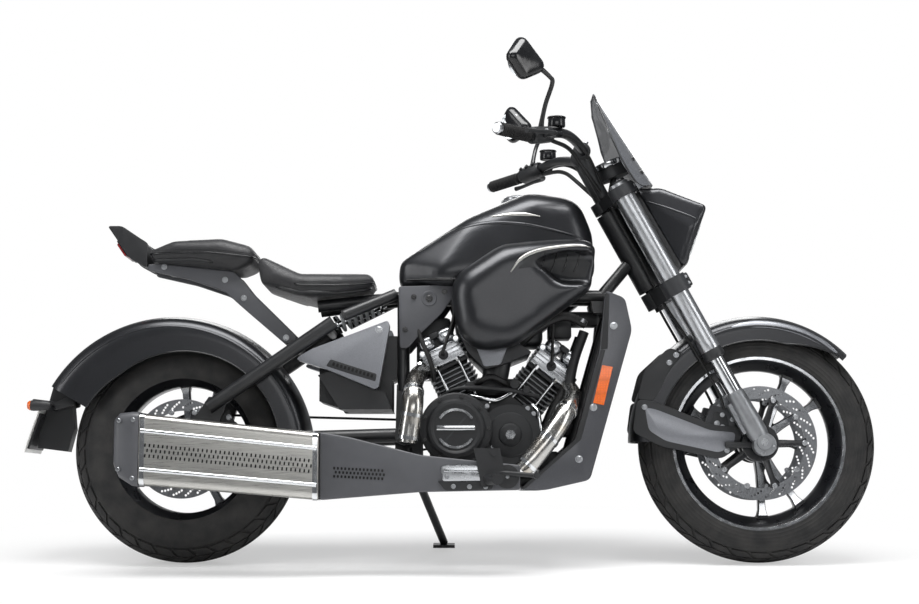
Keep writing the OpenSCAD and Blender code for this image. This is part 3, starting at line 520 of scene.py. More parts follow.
def rubber(name, colour, gloss=0.7, grain_mm=1.3, dust=0.25):
    """Carbon-filled rubber, moulded: dull, with a little pale dust in patches."""
    mat, tree, shader, place = blank(name)
    grain, cloud = spots(tree, place, grain_mm, 3), spots(tree, place, 40, 4)
    tone = blend_colour(
        tree, between(tree, cloud, 0, dust), shaded(colour, 0.85), linear("#4a4845")
    )
    tree.links.new(tone, shader.inputs["Base Color"])
    tree.links.new(between(tree, grain, gloss - 0.08, gloss + 0.1), shader.inputs["Roughness"])
    shader.inputs["Specular IOR Level"].default_value = 0.4
    relief(tree, shader, grain, 0.05, 0.5)
    return mat


def vinyl(name, colour):
    """Seat vinyl, calendered with a hide grain: cells about 2 mm across with soft valleys painted darker as
    painted shade, and a low sheen.
    """
    mat, tree, shader, place = blank(name)
    warp = spots(tree, place, 6, 2)
    cells = add(
        tree,
        "ShaderNodeTexVoronoi",
        {"Scale": 1000 / 2.2, "Randomness": 1.0},
        {"Vector": place},
        feature="DISTANCE_TO_EDGE",
    )
    height = between(tree, cells.outputs["Distance"], 0, 1, 0.0, 0.22)
    # The grain's valleys are painted darker than its cells: painted shade in the grain, on top of its bump.
    tone = blend_colour(tree, height, shaded(colour, 0.55), shaded(colour, 1.12))
    tree.links.new(tone, shader.inputs["Base Color"])
    tree.links.new(between(tree, warp, 0.42, 0.58), shader.inputs["Roughness"])
    shader.inputs["Sheen Weight"].default_value = 0.08
    shader.inputs["IOR"].default_value = 1.5
    relief(tree, shader, height, 0.18, 0.5)
    return mat


def lens(name, colour, cell_mm=4.0, clear=0.55):
    """Acrylic lens, moulded with prisms on its back: deep colour under a glossy face, each prism painted lighter
    in its middle and darker at its rim as painted glint and shade.
    """
    mat, tree, shader, place = blank(name)
    cells = add(
        tree,
        "ShaderNodeTexVoronoi",
        {"Scale": 1000 / cell_mm, "Randomness": 0.15},
        {"Vector": place},
        distance="CHEBYCHEV",
    )
    # The prism pattern is real; the light middles and dark rims of its cells are painted glint and painted shade.
    tone = blend_colour(
        tree, between(tree, cells.outputs["Distance"], 0, 1, 0.1, 0.6), shaded(colour, 1.25),
        shaded(colour, 0.6)
    )
    tree.links.new(tone, shader.inputs["Base Color"])
    shader.inputs["Roughness"].default_value = 0.18
    shader.inputs["IOR"].default_value = 1.49
    shader.inputs["Coat Weight"].default_value = clear
    shader.inputs["Coat Roughness"].default_value = 0.05
    relief(tree, shader, cells.outputs["Distance"], 0.4, 0.4)
    return mat


def glassy(name, colour, alpha, gloss=0.06):
    """Polycarbonate or glass, tinted through: it is seen through, with a clear hard reflection."""
    mat, tree, shader, place = blank(name)
    haze = spots(tree, place, 30, 2)
    tone = blend_colour(tree, haze, shaded(colour, 0.92), shaded(colour, 1.05))
    tree.links.new(tone, shader.inputs["Base Color"])
    tree.links.new(between(tree, haze, gloss, gloss + 0.05), shader.inputs["Roughness"])
    shader.inputs["IOR"].default_value = 1.5
    shader.inputs["Alpha"].default_value = alpha
    return mat


MATERIALS = {}


def make_materials(look):
    """Every finish on the bike; colours that a user would change come from the look's properties."""
    make = MATERIALS
    make["charcoal paint"] = paint("charcoal metallic paint", look.paint, 0.36, 0.55)
    make["grey paint"] = paint("light grey metallic paint", look.side_paint, 0.38, 0.3)
    make["dark grey paint"] = powder_coat("dark grey heatproof paint", "#45464a", 0.5)
    make["grey paint dark"] = paint("dark grey metallic paint", "#4b4c50", 0.42, 0.3)
    make["frame black"] = powder_coat("black powder coat", "#17181a")
    make["wheel black"] = powder_coat("black wheel enamel", "#141518", 0.3)
    make["black moulding"] = moulded("black moulded nylon", "#1b1c1e")
    make["gloss moulding"] = moulded("black gloss ABS", "#131416", 0.2, 3.0, 0.01)
    make["black casting"] = cast("black painted casting", "#1c1d1f", 0.1, 0.48)
    make["grey casting"] = cast("bare die-cast aluminium", "#8b8d90", 0.9, 0.42)
    make["bright casting"] = cast("polished die-cast aluminium", "#b5b7ba", 1.0, 0.26, 2.4, 0.03)
    make["machined"] = brushed("machined aluminium", "#b4b6b9", 0.26, "z", 1.0, 0.1)
    make["fork tube"] = brushed("satin anodised fork tube", "#b9bbbe", 0.3, "fork", 1.3, 0.1)
    make["brushed steel"] = brushed("brushed stainless steel", "#b3b2ae", 0.3, "x", 1.1, 0.2)
    make["header steel"] = brushed("stainless header steel", "#b7b6b3", 0.2, "z", 4.0, 0.05, "#a08f78")
    make["chrome"] = polished("bright chrome plate", "#d4d6d8", 0.08)
    make["bright rim"] = polished("diamond-cut wheel aluminium", "#c9cbce", 0.14)
    make["disc steel"] = brushed("ground disc steel", "#85878a", 0.3, "z", 0.9, 0.12)
    make["bolt steel"] = polished("zinc plated bolt steel", "#9c9ea1", 0.3)
    make["black steel"] = powder_coat("black oxide steel", "#101113", 0.35)
    make["spring steel"] = powder_coat("spring enamel", "#c2c4c6", 0.3)
    make["tyre rubber"] = rubber("tyre rubber", "#161617")
    make["grip rubber"] = rubber("grip rubber", "#111112", 0.75, 1.0, 0.05)
    make["hose rubber"] = rubber("hose rubber", "#131314", 0.5, 1.6, 0.05)
    make["belt rubber"] = rubber("toothed belt rubber", "#1a1a1b", 0.65, 0.8, 0.2)
    make["seat vinyl"] = vinyl("seat vinyl", look.seat)
    make["amber lens"] = lens("amber acrylic reflector", look.reflector)
    make["red lens"] = lens("red acrylic lens", "#9c1216", 5.0)
    make["lamp glass"] = glassy("clear lamp glass", "#dfe6ea", 0.35)
    make["smoked screen"] = glassy("smoked polycarbonate", look.screen, 0.72)
    make["mirror glass"] = polished("silvered mirror glass", "#dde1e4", 0.02)
    make["radiator fins"] = cast("radiator core aluminium", "#2b2c2e", 0.5, 0.5, 1.0, 0.1)
    make["plate white"] = moulded("white plate enamel", "#e6e6e3", 0.35, 4.0, 0.01)
    make["bronze"] = polished("bronze anodised cap", "#8a7a5a", 0.3)
    # Near-black sheets that stand for openings: painted shade where a hole or slot shows only shade inside.
    make["painted hole shade"] = moulded("painted shade in an opening", "#050505", 0.9)


# Each CAD node's finish where the node itself stays in view.
NODE_FINISH = {
    "frame": "frame black", "frame_cradle": "frame black", "swingarm": "frame black",
    "battery_box": "black moulding", "side_reflectors": "amber lens", "crankcase": "black casting",
    "plate_bracket": "black moulding", "number_plate": "plate white", "footrests": "black casting",
    "rear_caliper": "black casting", "drive_belt": "belt rubber", "rear_axle": "bolt steel",
    "steering_yokes": "black casting", "front_axle": "bolt steel", "headlamp": "lamp glass",
    "windscreen": "smoked screen", "instrument_pod": "black moulding", "front_calipers": "black casting",
    "rear_pulley": "black casting", "side_stand": "frame black",
}


def node_finishes():
    """Give each CAD node its procedural finish."""
    for name, material in NODE_FINISH.items():
        for material_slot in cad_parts[name].material_slots:
            material_slot.material = MATERIALS[material]


# ---------------------------------------------------------------- repeats

LOCAL = Matrix.Diagonal((0.001, 0.001, 0.001, 1))


def repeat_tree():
    """A tree that copies a mesh along a line, round a ring, or both: copy k is moved and turned k times."""
    tree = bpy.data.node_groups.new("Repeat", "GeometryNodeTree")
    tree.is_modifier = True
    face = tree.interface
    face.new_socket("Geometry", in_out="INPUT", socket_type="NodeSocketGeometry")
    for label, kind in (
        ("Count", "NodeSocketInt"),
        ("Shift", "NodeSocketVector"),
        ("Turn", "NodeSocketVector"),
        ("Material", "NodeSocketMaterial"),
    ):
        face.new_socket(label, in_out="INPUT", socket_type=kind)
    face.new_socket("Geometry", in_out="OUTPUT", socket_type="NodeSocketGeometry")
    given = add(tree, "NodeGroupInput").outputs
    index = add(tree, "GeometryNodeInputIndex").outputs[0]
    by_index = [
        add(
            tree,
            "ShaderNodeVectorMath",
            links={0: given[label], "Scale": index},
            operation="SCALE",
        ).outputs[0]
        for label in ("Shift", "Turn")
    ]
    points = add(
        tree,
        "GeometryNodePoints",
        links={"Count": given["Count"], "Position": by_index[0]},
    )
    copies = add(
        tree,
        "GeometryNodeInstanceOnPoints",
        links={
            "Points": points.outputs[0],
            "Instance": given["Geometry"],
            "Rotation": by_index[1],
        },
    )
    real = add(tree, "GeometryNodeRealizeInstances", links={0: copies.outputs[0]})
    painted = add(
        tree,
        "GeometryNodeSetMaterial",
        links={"Geometry": real.outputs[0], "Material": given["Material"]},
    )
    add(tree, "NodeGroupOutput", links={0: painted.outputs[0]})
    return tree


def repeat(unit, count, shift=(0, 0, 0), turn=(0, 0, 0), place=BIKE, material="black moulding"):
    """Repeat a unit mesh made at LOCAL, as a plain mesh moved to its place."""
    tree = bpy.data.node_groups.get("Repeat") or repeat_tree()
    mod = unit.modifiers.new("Repeat", "NODES")
    mod.node_group = tree
    wanted = {
        "Count": count,
        "Shift": [0.001 * v for v in shift],
        "Turn": [math.radians(v) for v in turn],
        "Material": MATERIALS[material],
    }
    for item in tree.interface.items_tree:
        if item.in_out == "INPUT" and item.name in wanted:
            mod[item.identifier] = wanted[item.name]
    bake(unit)
    unit.data.transform(place @ LOCAL.inverted())
    return unit


def bolts(name, spots_xz, y, head=7, tall=5, place=BIKE, way=-1):
    """Hexagon socket screws with domed heads and washers, their heads facing -y (way -1) or +y."""
    parts = []
    for x, z in spots_xz:
        socket = [
            (0.02, tall * 0.45), (head * 0.42, tall * 0.45), (head * 0.46, tall), (head * 0.8, tall),
            (head * 0.98, tall * 0.75), (head, tall * 0.35), (head, 0.4), (head * 1.25, 0.4),
            (head * 1.25, -1.5),
        ]
        turned = place @ Matrix.Translation((x, y, z)) @ Matrix.Diagonal((1, way, 1, 1))
        parts.append(spin(name + "_part", socket, turned, 12))
    return join(name, parts)


# ---------------------------------------------------------------- wheels


def crown_point(ring, crown, phi, drop=0.0):
    """A point (radius, y) of the tyre's round section, phi degrees up from its right side."""
    a = math.radians(phi)
    return (ring + (crown - drop) * math.sin(a), -(crown - drop) * math.cos(a))


def tyre(name, place, body, node, ring, crown, bead, half, count):
    """A radial tyre: carcass with sidewall ribs, a central rib, and two rows of blocks on each side."""
    groove = 4.0
    right = [(bead + 1, -half - 1), (bead + 10, -half - 7)]
    for phi in range(-16, 36, 4):
        drop = 1.2 if phi % 8 else 0.0
        right.append(crown_point(ring, crown, phi, 0.8 + drop))
    right += [crown_point(ring, crown, phi, groove) for phi in range(36, 91, 6)]
    profile = right + [(r, -y) for r, y in reversed(right[:-1])]
    profile += [(bead + 1, half - 8), (bead + 1, 8 - half)]
    carcass = spin(name + "_carcass", profile, place, 144, closed=True)
    rib = [crown_point(ring, crown, phi, 0.2) for phi in range(80, 101, 4)]
    rib += [crown_point(ring, crown, phi, groove + 1) for phi in range(100, 79, -20)]
    parts = [carcass, spin(name + "_rib", rib, place, 144, closed=True)]
    step = 360 / count
    for low, high, width, skew in ((38, 55, 0.80, 0.35), (58, 77, 0.84, -0.55)):
        for mirrored in (False, True):
            rings = []
            for k in range(5):
                phi = low + (high - low) * k / 4
                lean_by = skew * step * k / 4 + (0.5 * step if mirrored else 0)
                square = []
                for drop, side in ((groove + 1, 0), (groove + 1, 1), (0.2, 1), (0.2, 0)):
                    r, y = crown_point(ring, crown, 180 - phi if mirrored else phi, drop)
                    a = math.radians(lean_by + side * step * width)
                    square.append((r * math.cos(a), y, r * math.sin(a)))
                rings.append(square)
            unit = loft(name + "_block", rings, LOCAL)
            bevel(unit, 0.9, 1, 50)
            parts.append(repeat(unit, count, turn=(0, step, 0), place=place, material="tyre rubber"))
    return finish(join(name, parts), body, "tyre rubber", [node], 30)


def along_spoke(first, pair, side, hub, rim, t):
    """A point on a spoke's middle line, and its width direction, in the wheel's plane."""
    root = math.radians(first + 120 * pair + side * 5)
    tip = math.radians(first + 120 * pair + side * 15.5)
    a = Vector((math.cos(root), 0, math.sin(root))) * hub * 0.75
    b = Vector((math.cos(tip), 0, math.sin(tip))) * rim
    ahead = (b - a).normalized()
    return a + (b - a) * t, Vector((-ahead.z, 0, ahead.x))


def rim(prefix, place, body, node, slot, bead, half, hub, hub_half, first):
    """A cast wheel: black barrel, hub and six spokes in three pairs, with diamond-cut faces and lips."""
    lip = half + 8
    barrel = [
        (bead + 12, -lip + 1), (bead + 14, -lip + 3), (bead + 14, -half - 1), (bead + 2, -half + 1),
        (bead, -half + 6), (bead, -half + 14), (bead - 15, -half + 24), (bead - 15, half - 24),
        (bead, half - 14), (bead, half - 6), (bead + 2, half - 1), (bead + 14, half + 1),
        (bead + 14, lip - 3), (bead + 12, lip - 1), (bead + 2, lip - 1), (bead - 5, half + 1),
        (bead - 10, half - 14), (bead - 22, half - 27), (bead - 25, half - 40), (bead - 25, 40 - half),
        (bead - 22, 27 - half), (bead - 10, 14 - half), (bead - 5, -half - 1), (bead + 2, 1 - lip),
    ]
    parts = [spin("barrel", barrel, place, 144, closed=True)]
    faces = [
        spin(
            "lip", [(bead + 12, w * (lip - 1.2)), (bead + 12.5, w * lip), (bead + 3, w * lip),
                (bead + 1, w * (lip - 2))],
            place, 144, closed=True,
        )
        for w in (-1, 1)
    ]
    # Where along the spoke, its width and its half depth.
    stations = ((0, 34, 20), (0.1, 28, 19), (0.3, 22, 16), (0.6, 19, 14), (0.86, 20, 15), (0.95, 27, 18),
        (1, 40, 22))
    for pair in range(3):
        for side in (-1, 1):
            rings, right, left = [], [], []
            for t, w, h in stations:
                p, n = along_spoke(first, pair, side, hub, bead - 20, t)
                up = Vector((0, 1, 0))
                corners = (
                    (w / 2 - 3.5, -h), (w / 2, -h + 5), (w / 2, h - 5), (w / 2 - 3.5, h),
                    (3.5 - w / 2, h), (-w / 2, h - 5), (-w / 2, 5 - h), (3.5 - w / 2, -h),
                )
                rings.append([p + n * a + up * b for a, b in corners])
            for t, w, h in stations[1:-1]:
                p, n = along_spoke(first, pair, side, hub, bead - 20, t)
                a = w / 2 - 2.6
                for store, y in ((right, -h), (left, h)):
                    d = 0.5 if y > 0 else -0.5
                    store.append([p + n * s * a + Vector((0, y + e, 0)) for s,
                        e in ((-1, -d), (1, -d), (1, d), (-1, d))])
            parts.append(subdivide_soft(loft("spoke", rings, place)))
            faces += [loft("face", store, place) for store in (right, left)]
        # Web that closes the root of the pair
        web = []
        for side in (-1, 1):
            p, _ = along_spoke(first, pair, side, hub, bead - 20, 0.30)
            web.append((p.x, p.z))
        mid = math.radians(first + 120 * pair)
        web = [
            (hub * 0.8 * math.cos(mid - 0.25), hub * 0.8 * math.sin(mid - 0.25)), web[0],
            (hub * 1.75 * math.cos(mid), hub * 1.75 * math.sin(mid)), web[1],
            (hub * 0.8 * math.cos(mid + 0.25), hub * 0.8 * math.sin(mid + 0.25)),
        ]
        parts.append(plate("web", web, -11, 11, place, 2))
    hub_shape = [
        (16, -hub_half), (hub - 6, -hub_half), (hub - 3, 3 - hub_half), (hub - 4, -24), (hub + 4, -20),
        (hub + 8, -14), (hub + 8, 14), (hub + 4, 20), (hub - 4, 24), (hub - 3, hub_half - 3),
        (hub - 6, hub_half), (16, hub_half),
    ]
    parts.append(spin("hub", hub_shape, place, 72, closed=True))
    finish(join(prefix + "_cast_rim", parts), body, "wheel black", [node], 40)
    finish(join(prefix + "_cut_faces", faces), body, "bright rim", angle=30)


def subdivide_soft(obj):
    """Round a lofted bar's long edges."""
    return bevel(obj, 1.6, 2, 30)


def disc(name, place, body, node, radius, y, inner, count, hole=3.4, arms=5, reach=36):
    """A floating brake disc: drilled steel ring, and a carrier with arms held to it by round bobbins."""
    bm = bmesh.new()

    def circle(cx, cz, r, steps):
        ring = [
            bm.verts.new((cx + r * math.cos(math.tau * k / steps), 0,
                cz + r * math.sin(math.tau * k / steps)))
            for k in range(steps)
        ]
        return [bm.edges.new((ring[k], ring[(k + 1) % steps])) for k in range(steps)]

    edges = circle(0, 0, radius, 120) + circle(0, 0, inner, 120)
    rows = 4
    for k in range(count):
        for row in range(rows):
            r = inner + 9 + (radius - inner - 17) * row / (rows - 1)
            a = math.tau * (k + 0.28 * row + (0.5 if row % 2 else 0)) / count
            edges += circle(r * math.cos(a), r * math.sin(a), hole, 8)
    bmesh.ops.triangle_fill(bm, use_beauty=True, use_dissolve=False, edges=edges)
    made = bmesh.ops.extrude_face_region(bm, geom=bm.faces[:])
    bmesh.ops.translate(bm, vec=(0, 5, 0), verts=[v for v in made["geom"] if isinstance(v,
        bmesh.types.BMVert)])
    bmesh.ops.recalc_face_normals(bm, faces=bm.faces)
    data = bpy.data.meshes.new(name)
    bm.to_mesh(data)
    bm.free()
    data.transform(place @ Matrix.Translation((0, y - 2.5, 0)))
    ring = bpy.data.objects.new(name, data)
    bpy.context.collection.objects.link(ring)
    tidy(ring)
    finish(ring, body, "disc steel", [node], 30)
    arm = [(reach - 8, -9), (inner - 12, -7), (inner + 4, -15), (inner + 5, 15), (inner - 12, 7),
        (reach - 8, 9)]
    unit = plate("arm", rounded(arm, 6, 3), -3.6, 3.6, LOCAL, 0.8)
    away = place @ Matrix.Translation((0, y, 0))
    spokes = repeat(unit, arms, turn=(0, 360 / arms, 0), place=away, material="wheel black")
    collar = spin(
        "collar", [(reach - 14, -4.5), (reach + 3, -4.5), (reach + 5, -3), (reach + 5, 3),
            (reach + 3, 4.5), (reach - 14, 4.5)],
        away, 60, closed=True,
    )
    button = spin("bobbin", [(0.1, -5.5), (6, -5.5), (7, -4.5), (7, 4.5), (6, 5.5), (0.1, 5.5)], LOCAL, 16)
    button.data.transform(Matrix.Translation((inner * 0.001, 0, 0)))
    held = repeat(button, arms * 2, turn=(0, 180 / arms, 0), place=away, material="machined")
    finish(join(name + "_carrier", [spokes, collar]), body, "wheel black", angle=35)
    finish(join(name + "_bobbins", [held]), body, "machined", angle=35)


def wheels(sizes):
    """Both wheels with tyres, rims and discs."""
    tyre("front_treaded_tyre", FRONT, "front_wheel", "front_tyre", 245, 66, 216, 45, sizes.tread_blocks)
    tyre("rear_treaded_tyre", REAR, "rear_wheel", "rear_tyre", 207, 88, 190, 62, sizes.tread_blocks)
    rim("front", FRONT, "front_wheel", "front_rim", "wheel_black", 216, 45, 40, 60, 49)
    rim("rear", REAR, "rear_wheel", "rear_rim", "wheel_black", 190, 62, 46, 84, 77.5)
    hole = sizes.disc_hole * 500
    for name, y in (("front_disc_right", -66), ("front_disc_left", 66)):
        disc(name, FRONT, "front_wheel", "front_discs", 148, y, 116, sizes.disc_holes, hole, reach=44)
    disc("rear_disc_drilled", REAR, "rear_wheel", "rear_disc", 128, -98, 98, sizes.disc_holes, hole,
        reach=44)


# ---------------------------------------------------------------- surfaces to build on


class Skin:
    """The outside of a piece, asked for in the bike's own millimetres."""

    def __init__(self, obj, place=BIKE):
        from_frame = place.inverted()
        data = obj.data
        points = [from_frame @ v.co for v in data.vertices]
        self.tree = BVHTree.FromPolygons(points, [tuple(f.vertices) for f in data.polygons])

    def y(self, x, z, way=-1, fallback=None):
        """Where a line from that side first meets the skin at (x, z)."""
        hit = self.tree.ray_cast(Vector((x, way * 900, z)), Vector((0, -way, 0)))[0]
        return hit.y if hit else fallback

    def z(self, x, y, fallback=None):
        """The top of the skin over (x, y)."""
        hit = self.tree.ray_cast(Vector((x, y, 2000)), Vector((0, 0, -1)))[0]
        return hit.z if hit else fallback


def strip(name, skin, path, widths, proud=2.0, sink=2.0, way=-1, place=BIKE, across=6, steps=6):
    """A crowned strip laid on a skin's side along a path of (x, z) points."""
    line = curve_through([(x, 0, z) for x, z in path], steps)
    size = [v.x for v in curve_through([(w, 0, 0) for w in widths], steps)]
    rings, last = [], None
    for i, (p, w) in enumerate(zip(line, size)):
        ahead = (line[min(i + 1, len(line) - 1)] - line[max(i - 1, 0)]).normalized()
        n = Vector((-ahead.z, 0, ahead.x))
        top, low = [], []
        for k in range(across + 1):
            t = 2 * k / across - 1
            q = p + n * (t * w / 2)
            y = skin.y(q.x, q.z, way, last)
            if y is None:
                y = skin.y(p.x, p.z, way, 0)
            last = y
            top.append((q.x, y + way * proud * (1 - 0.75 * t**4), q.z))
            low.append((q.x, y - way * sink, q.z))
        rings.append(top + low[::-1])
    return loft(name, rings, place)


def bead_along(name, points, radius, place=BIKE, sides=10):
    """A thin round bead through points that lie close together."""
    return tube(name, points, radius, place, sides, smooth=False)


# ---------------------------------------------------------------- bodywork


def arc_shell(name, centre, sections, start, stop, steps, place=BIKE):
    """A fender: a closed wall section of (radius, y) swept from one angle to another, its ends closed."""
    rings = []
    for i in range(steps + 1):
        a = math.radians(start + (stop - start) * i / steps)
        rings.append([(centre[0] + r * math.cos(a), y, centre[1] + r * math.sin(a)) for r,
            y in sections(i / steps)])
    return loft(name, rings, place)


def crown_section(radius, half, skirt, wall):
    """A fender's wall: a crowned top that turns down into sides of that skirt, with a soft shoulder."""
    outer = []
    for k in range(-12, 13):
        t = k / 12
        s = abs(t)
        if s < 0.62:
            r, y = radius - 14 * (s / 0.62) ** 2.2, half * 0.86 * t / 0.62
        else:
            u = (s - 0.62) / 0.38
            r = radius - 14 - (skirt - 14) * u**1.15
            y = math.copysign(half * (0.86 + 0.14 * math.sin(min(u * 2.6, 1) * math.pi / 2)), t)
        outer.append((r, y))
    inner = [(r - wall if abs(y) < half * 0.8 else r - wall * 0.4, y * (1 - wall / half)) for r, y in outer]
    return outer + inner[::-1]


def rear_fender():
    """The rear fender, cut round the axle, with a rolled edge and a pressed line."""
    cx, cz, r, half = -36, 275.57, 370, 109
    start, stop, steps = 10.5, 149.5, 84

    def section(t):
        a = math.radians(start + (stop - start) * t)
        # The skirt ends on a circle round the axle.
        low = 251
        x0, z0 = -cx, REAR_AXLE_Z - cz
        b = x0 * math.cos(a) + z0 * math.sin(a)
        reach = b + math.sqrt(max(b * b - (x0 * x0 + z0 * z0 - low * low), 0))
        return crown_section(r, half, r - max(reach, 246), 3.2)

    shell = arc_shell("rear_fender_shell", (cx, cz), section, start, stop, steps)
    finish(shell, "chassis", "charcoal paint", ["rear_fender"], 40)
    beads = []
    for side in (0, 24):
        points = []
        for i in range(0, steps + 1, 2):
            a = math.radians(start + (stop - start) * i / steps)
            rr, y = section(i / steps)[side]
            points.append((cx + (rr + 1) * math.cos(a), y * 0.985, cz + (rr + 1) * math.sin(a)))
        beads.append(bead_along("edge", points, 2.4))
    finish(join("rear_fender_rolled_edge", beads), "chassis", "gloss moulding", angle=60)
    skin = Skin(shell)
    seams = []
    for way in (-1, 1):
        path = [(cx + 338 * math.cos(a),
            cz + 338 * math.sin(a)) for a in (math.radians(v) for v in range(20, 147, 9))]
        seams.append(strip("seam", skin, path, [3] + [7] * (len(path) - 2) + [3], 1.2, 1.5, way))
    finish(join("rear_fender_pressed_line", seams), "chassis", "charcoal paint", angle=50)


def front_fender():
    """The front fender with a pale side band, its rolled edge and a pressed line."""
    cx, cz, r, half = WHEELBASE, FRONT_AXLE_Z, 336.5, 77
    start, stop, steps = 44.5, 179.5, 80

    def section(t):
        # The skirt is deeper to the back.
        grow = min(max((t - 0.02) / 0.2, 0), 1)
        return crown_section(r, half, 30 + 40 * grow, 3.0)

    shell = arc_shell("front_fender_shell", (cx, cz), section, start, stop, steps)
    finish(shell, "steering", "charcoal paint", ["front_fender"], 40)
    beads = []
    for side in (0, 24):
        points = []
        for i in range(0, steps + 1, 2):
            a = math.radians(start + (stop - start) * i / steps)
            rr, y = section(i / steps)[side]
            points.append((cx + (rr + 1) * math.cos(a), y * 0.985, cz + (rr + 1) * math.sin(a)))
        beads.append(bead_along("edge", points, 2.2))
    finish(join("front_fender_rolled_edge", beads), "steering", "gloss moulding",
        angle=60)
    skin = Skin(shell)
    seams = []
    for way in (-1, 1):
        path = [(cx + 306 * math.cos(a),
            cz + 306 * math.sin(a)) for a in (math.radians(v) for v in range(50, 177, 9))]
        seams.append(strip("seam", skin, path, [3] + [7] * (len(path) - 2) + [3], 1.0, 1.5, way))
    finish(join("front_fender_pressed_line", seams), "steering", "charcoal paint",
        angle=50)
    bands = []
    for way in (-1, 1):
        path = [(cx + 311 * math.cos(a),
            cz + 311 * math.sin(a)) for a in (math.radians(v) for v in range(49, 104, 6))]
        bands.append(strip("band", skin, path, [3, 14, 19] + [20] * (len(path) - 5) + [14, 3], 0.8, 1.5,
            way))
    finish(join("front_fender_pale_bands", bands), "steering", "grey paint",
        angle=50)


BRACE = [(1164, 340), (1236, 303), (1392, 269), (1440, 300), (1450, 352), (1372, 358), (1222, 420),
    (1176, 425)]
ARM = [(1176, 425), (1222, 420), (1262, 500), (1300, 545), (1262, 560), (1196, 500)]


def fender_panels():
    """The panels that carry the front fender: a pale lower panel, a dark curved brace and bolts."""
    pale, dark, heads = [], [], []
    for way in (-1, 1):
        y0, y1 = sorted((way * 78.4, way * 83.3))
        dark.append(plate("panel", rounded(BRACE, 16), y0, y1, round_by=1.6))
        dark.append(plate("arm", rounded(ARM, 14), y0, y1, round_by=1.6))
        dark.append(box("clamp", (1438, way * 88, 306), (70, 14, 16), round_by=3))
        inner = [(1206, 344), (1250, 316), (1388, 286), (1426, 306), (1432, 338), (1366, 344),
            (1226, 398), (1196, 404)]
        pale.append(slab("recess", rounded(inner, 12), way * 81, 2.9, round_by=1))
        heads.append(bolts("bolt", [(1196, 404), (1280, 540), (1262, 520), (1408, 292)], way * 83.2, 6, 4,
            way=way))
    finish(join("front_fender_side_panels", pale), "steering", "grey paint",
        ["fender_brackets"])
    finish(join("front_fender_braces", dark), "steering", "black moulding")
    finish(join("front_fender_bolts", heads), "steering", "bolt steel")


def tank():
    """The fuel tank: seamless shell, a pressed side line, a base seam, a filler and a plain side bar."""
    shell = softened("tank_shell", "fuel_tank", 8, 26)
    skin = Skin(shell)
    finish(shell, "chassis", "charcoal paint", ["fuel_tank"], 60)
    lines, bars, base = [], [], []
    for way in (-1, 1):
        lines.append(
            strip("line", skin, [(612, 812), (690, 862), (780, 884), (880, 880), (985, 860), (1040, 846)],
                  [3, 7, 9, 9, 7, 3], 1.6, 2, way)
        )
        bars.append(strip("bar", skin, [(800, 903), (840, 908), (880, 908), (926, 902)], [3, 9, 11, 3],
            2.4, 2, way))
        base.append(
            strip("seam", skin, [(576, 738), (680, 733), (790, 730), (900, 728)], [6, 8, 8, 6], 2.4, 3, way)
        )
    finish(join("tank_pressed_lines", lines), "chassis", "charcoal paint", angle=50)
    finish(join("tank_side_bars", bars), "chassis", "brushed steel", angle=50)
    finish(join("tank_base_seam", base), "chassis", "gloss moulding", angle=50)
    top = skin.z(870, 0, 970)
    at = BIKE @ Matrix.Translation((870, 0, top - 5)) @ Matrix.Rotation(math.radians(-90), 4, "X")
    cap = [(0.1, 13), (20, 13), (21, 12), (21, 9.5), (30, 9.5), (34, 8.5), (36, 6), (36.5, 0), (42, -0.5),
        (43, -5), (0.1, -5)]
    finish(spin("filler_cap", [(r, -y) for r, y in cap], at, 64), "chassis", "bright casting",
        angle=30)


def cowls():
    """The side cowls: full rounded shells, a dark scoop mouth with a bright lip over it."""
    shell = softened("side_cowl_shells", "side_cowls", 8, 24)
    skin = Skin(shell)
    finish(shell, "chassis", "charcoal paint", ["side_cowls"], 60)
    mouths, lips, slats = [], [], []
    for way in (-1, 1):
        lips.append(
            strip("lip", skin, [(846, 742), (872, 776), (908, 796), (950, 806), (1010, 812), (1050, 808)],
                  [3, 9, 11, 10, 8, 3], 3.0, 2.5, way)
        )
        mouths.append(
            strip("mouth", skin, [(866, 752), (905, 770), (960, 772), (1012, 764), (1046, 752)],
                  [4, 34, 56, 62, 40], 0.8, 4, way, across=10)
        )
        for k in range(4):
            x = 930 + 30 * k
            slats.append(strip("slat", skin, [(x - 10, 748), (x, 770), (x + 4, 792)], [3, 5, 3], 2.6, 3,
                way))
    finish(join("scoop_mouths", mouths), "chassis", "black moulding", angle=50)
    finish(join("scoop_slats", slats), "chassis", "gloss moulding", angle=50)
    finish(join("scoop_bright_lips", lips), "chassis", "brushed steel", angle=50)


SIDE_COVER = [(293, 524), (330, 548), (530, 624), (536, 612), (508, 452), (498, 446), (383, 494)]


def side_covers():
    """The three-cornered side covers with a dark band whose slots are drawn as dark sheets of painted shade."""
    shells, slots, heads = [], [], []
    for way in (-1, 1):
        y0, y1 = sorted((way * 104.5, way * 147.5))
        shells.append(plate("cover", rounded(SIDE_COVER, 12), y0, y1, round_by=9, segments=4))
        band = [(372, 506), (430, 487), (500, 466), (503, 486), (436, 507), (384, 524)]
        slots.append(slab("band", rounded(band, 5), way * 146.3, 1.6, round_by=0.8))
        heads.append(bolts("bolt", [(508, 600)], way * 147.2, 8, 4, way=way))
    finish(join("side_cover_shells", shells), "chassis", "grey paint",
        ["side_covers"], 30)
    finish(join("side_cover_bands", slots), "chassis", "black moulding")
    finish(join("side_cover_screws", heads), "chassis", "bolt steel")
    # Dark sheets in the band's slots: painted shade that stands for the shade inside the slots.
    cells = []
    for way in (-1, 1):
        unit = plate("slot", rounded([(-3, -4.5), (3, -4.5), (3, 4.5), (-3, 4.5)], 2.4, 3), -1, 1, LOCAL, 0)
        at = BIKE @ Matrix.Translation((392, way * 148, 511)) @ Matrix.Rotation(math.radians(17), 4, "Y")
        cells.append(repeat(unit, 11, (10.3, 0, 0), place=at, material="painted hole shade"))
    finish(join("side_cover_slots", cells), "chassis", "painted hole shade")


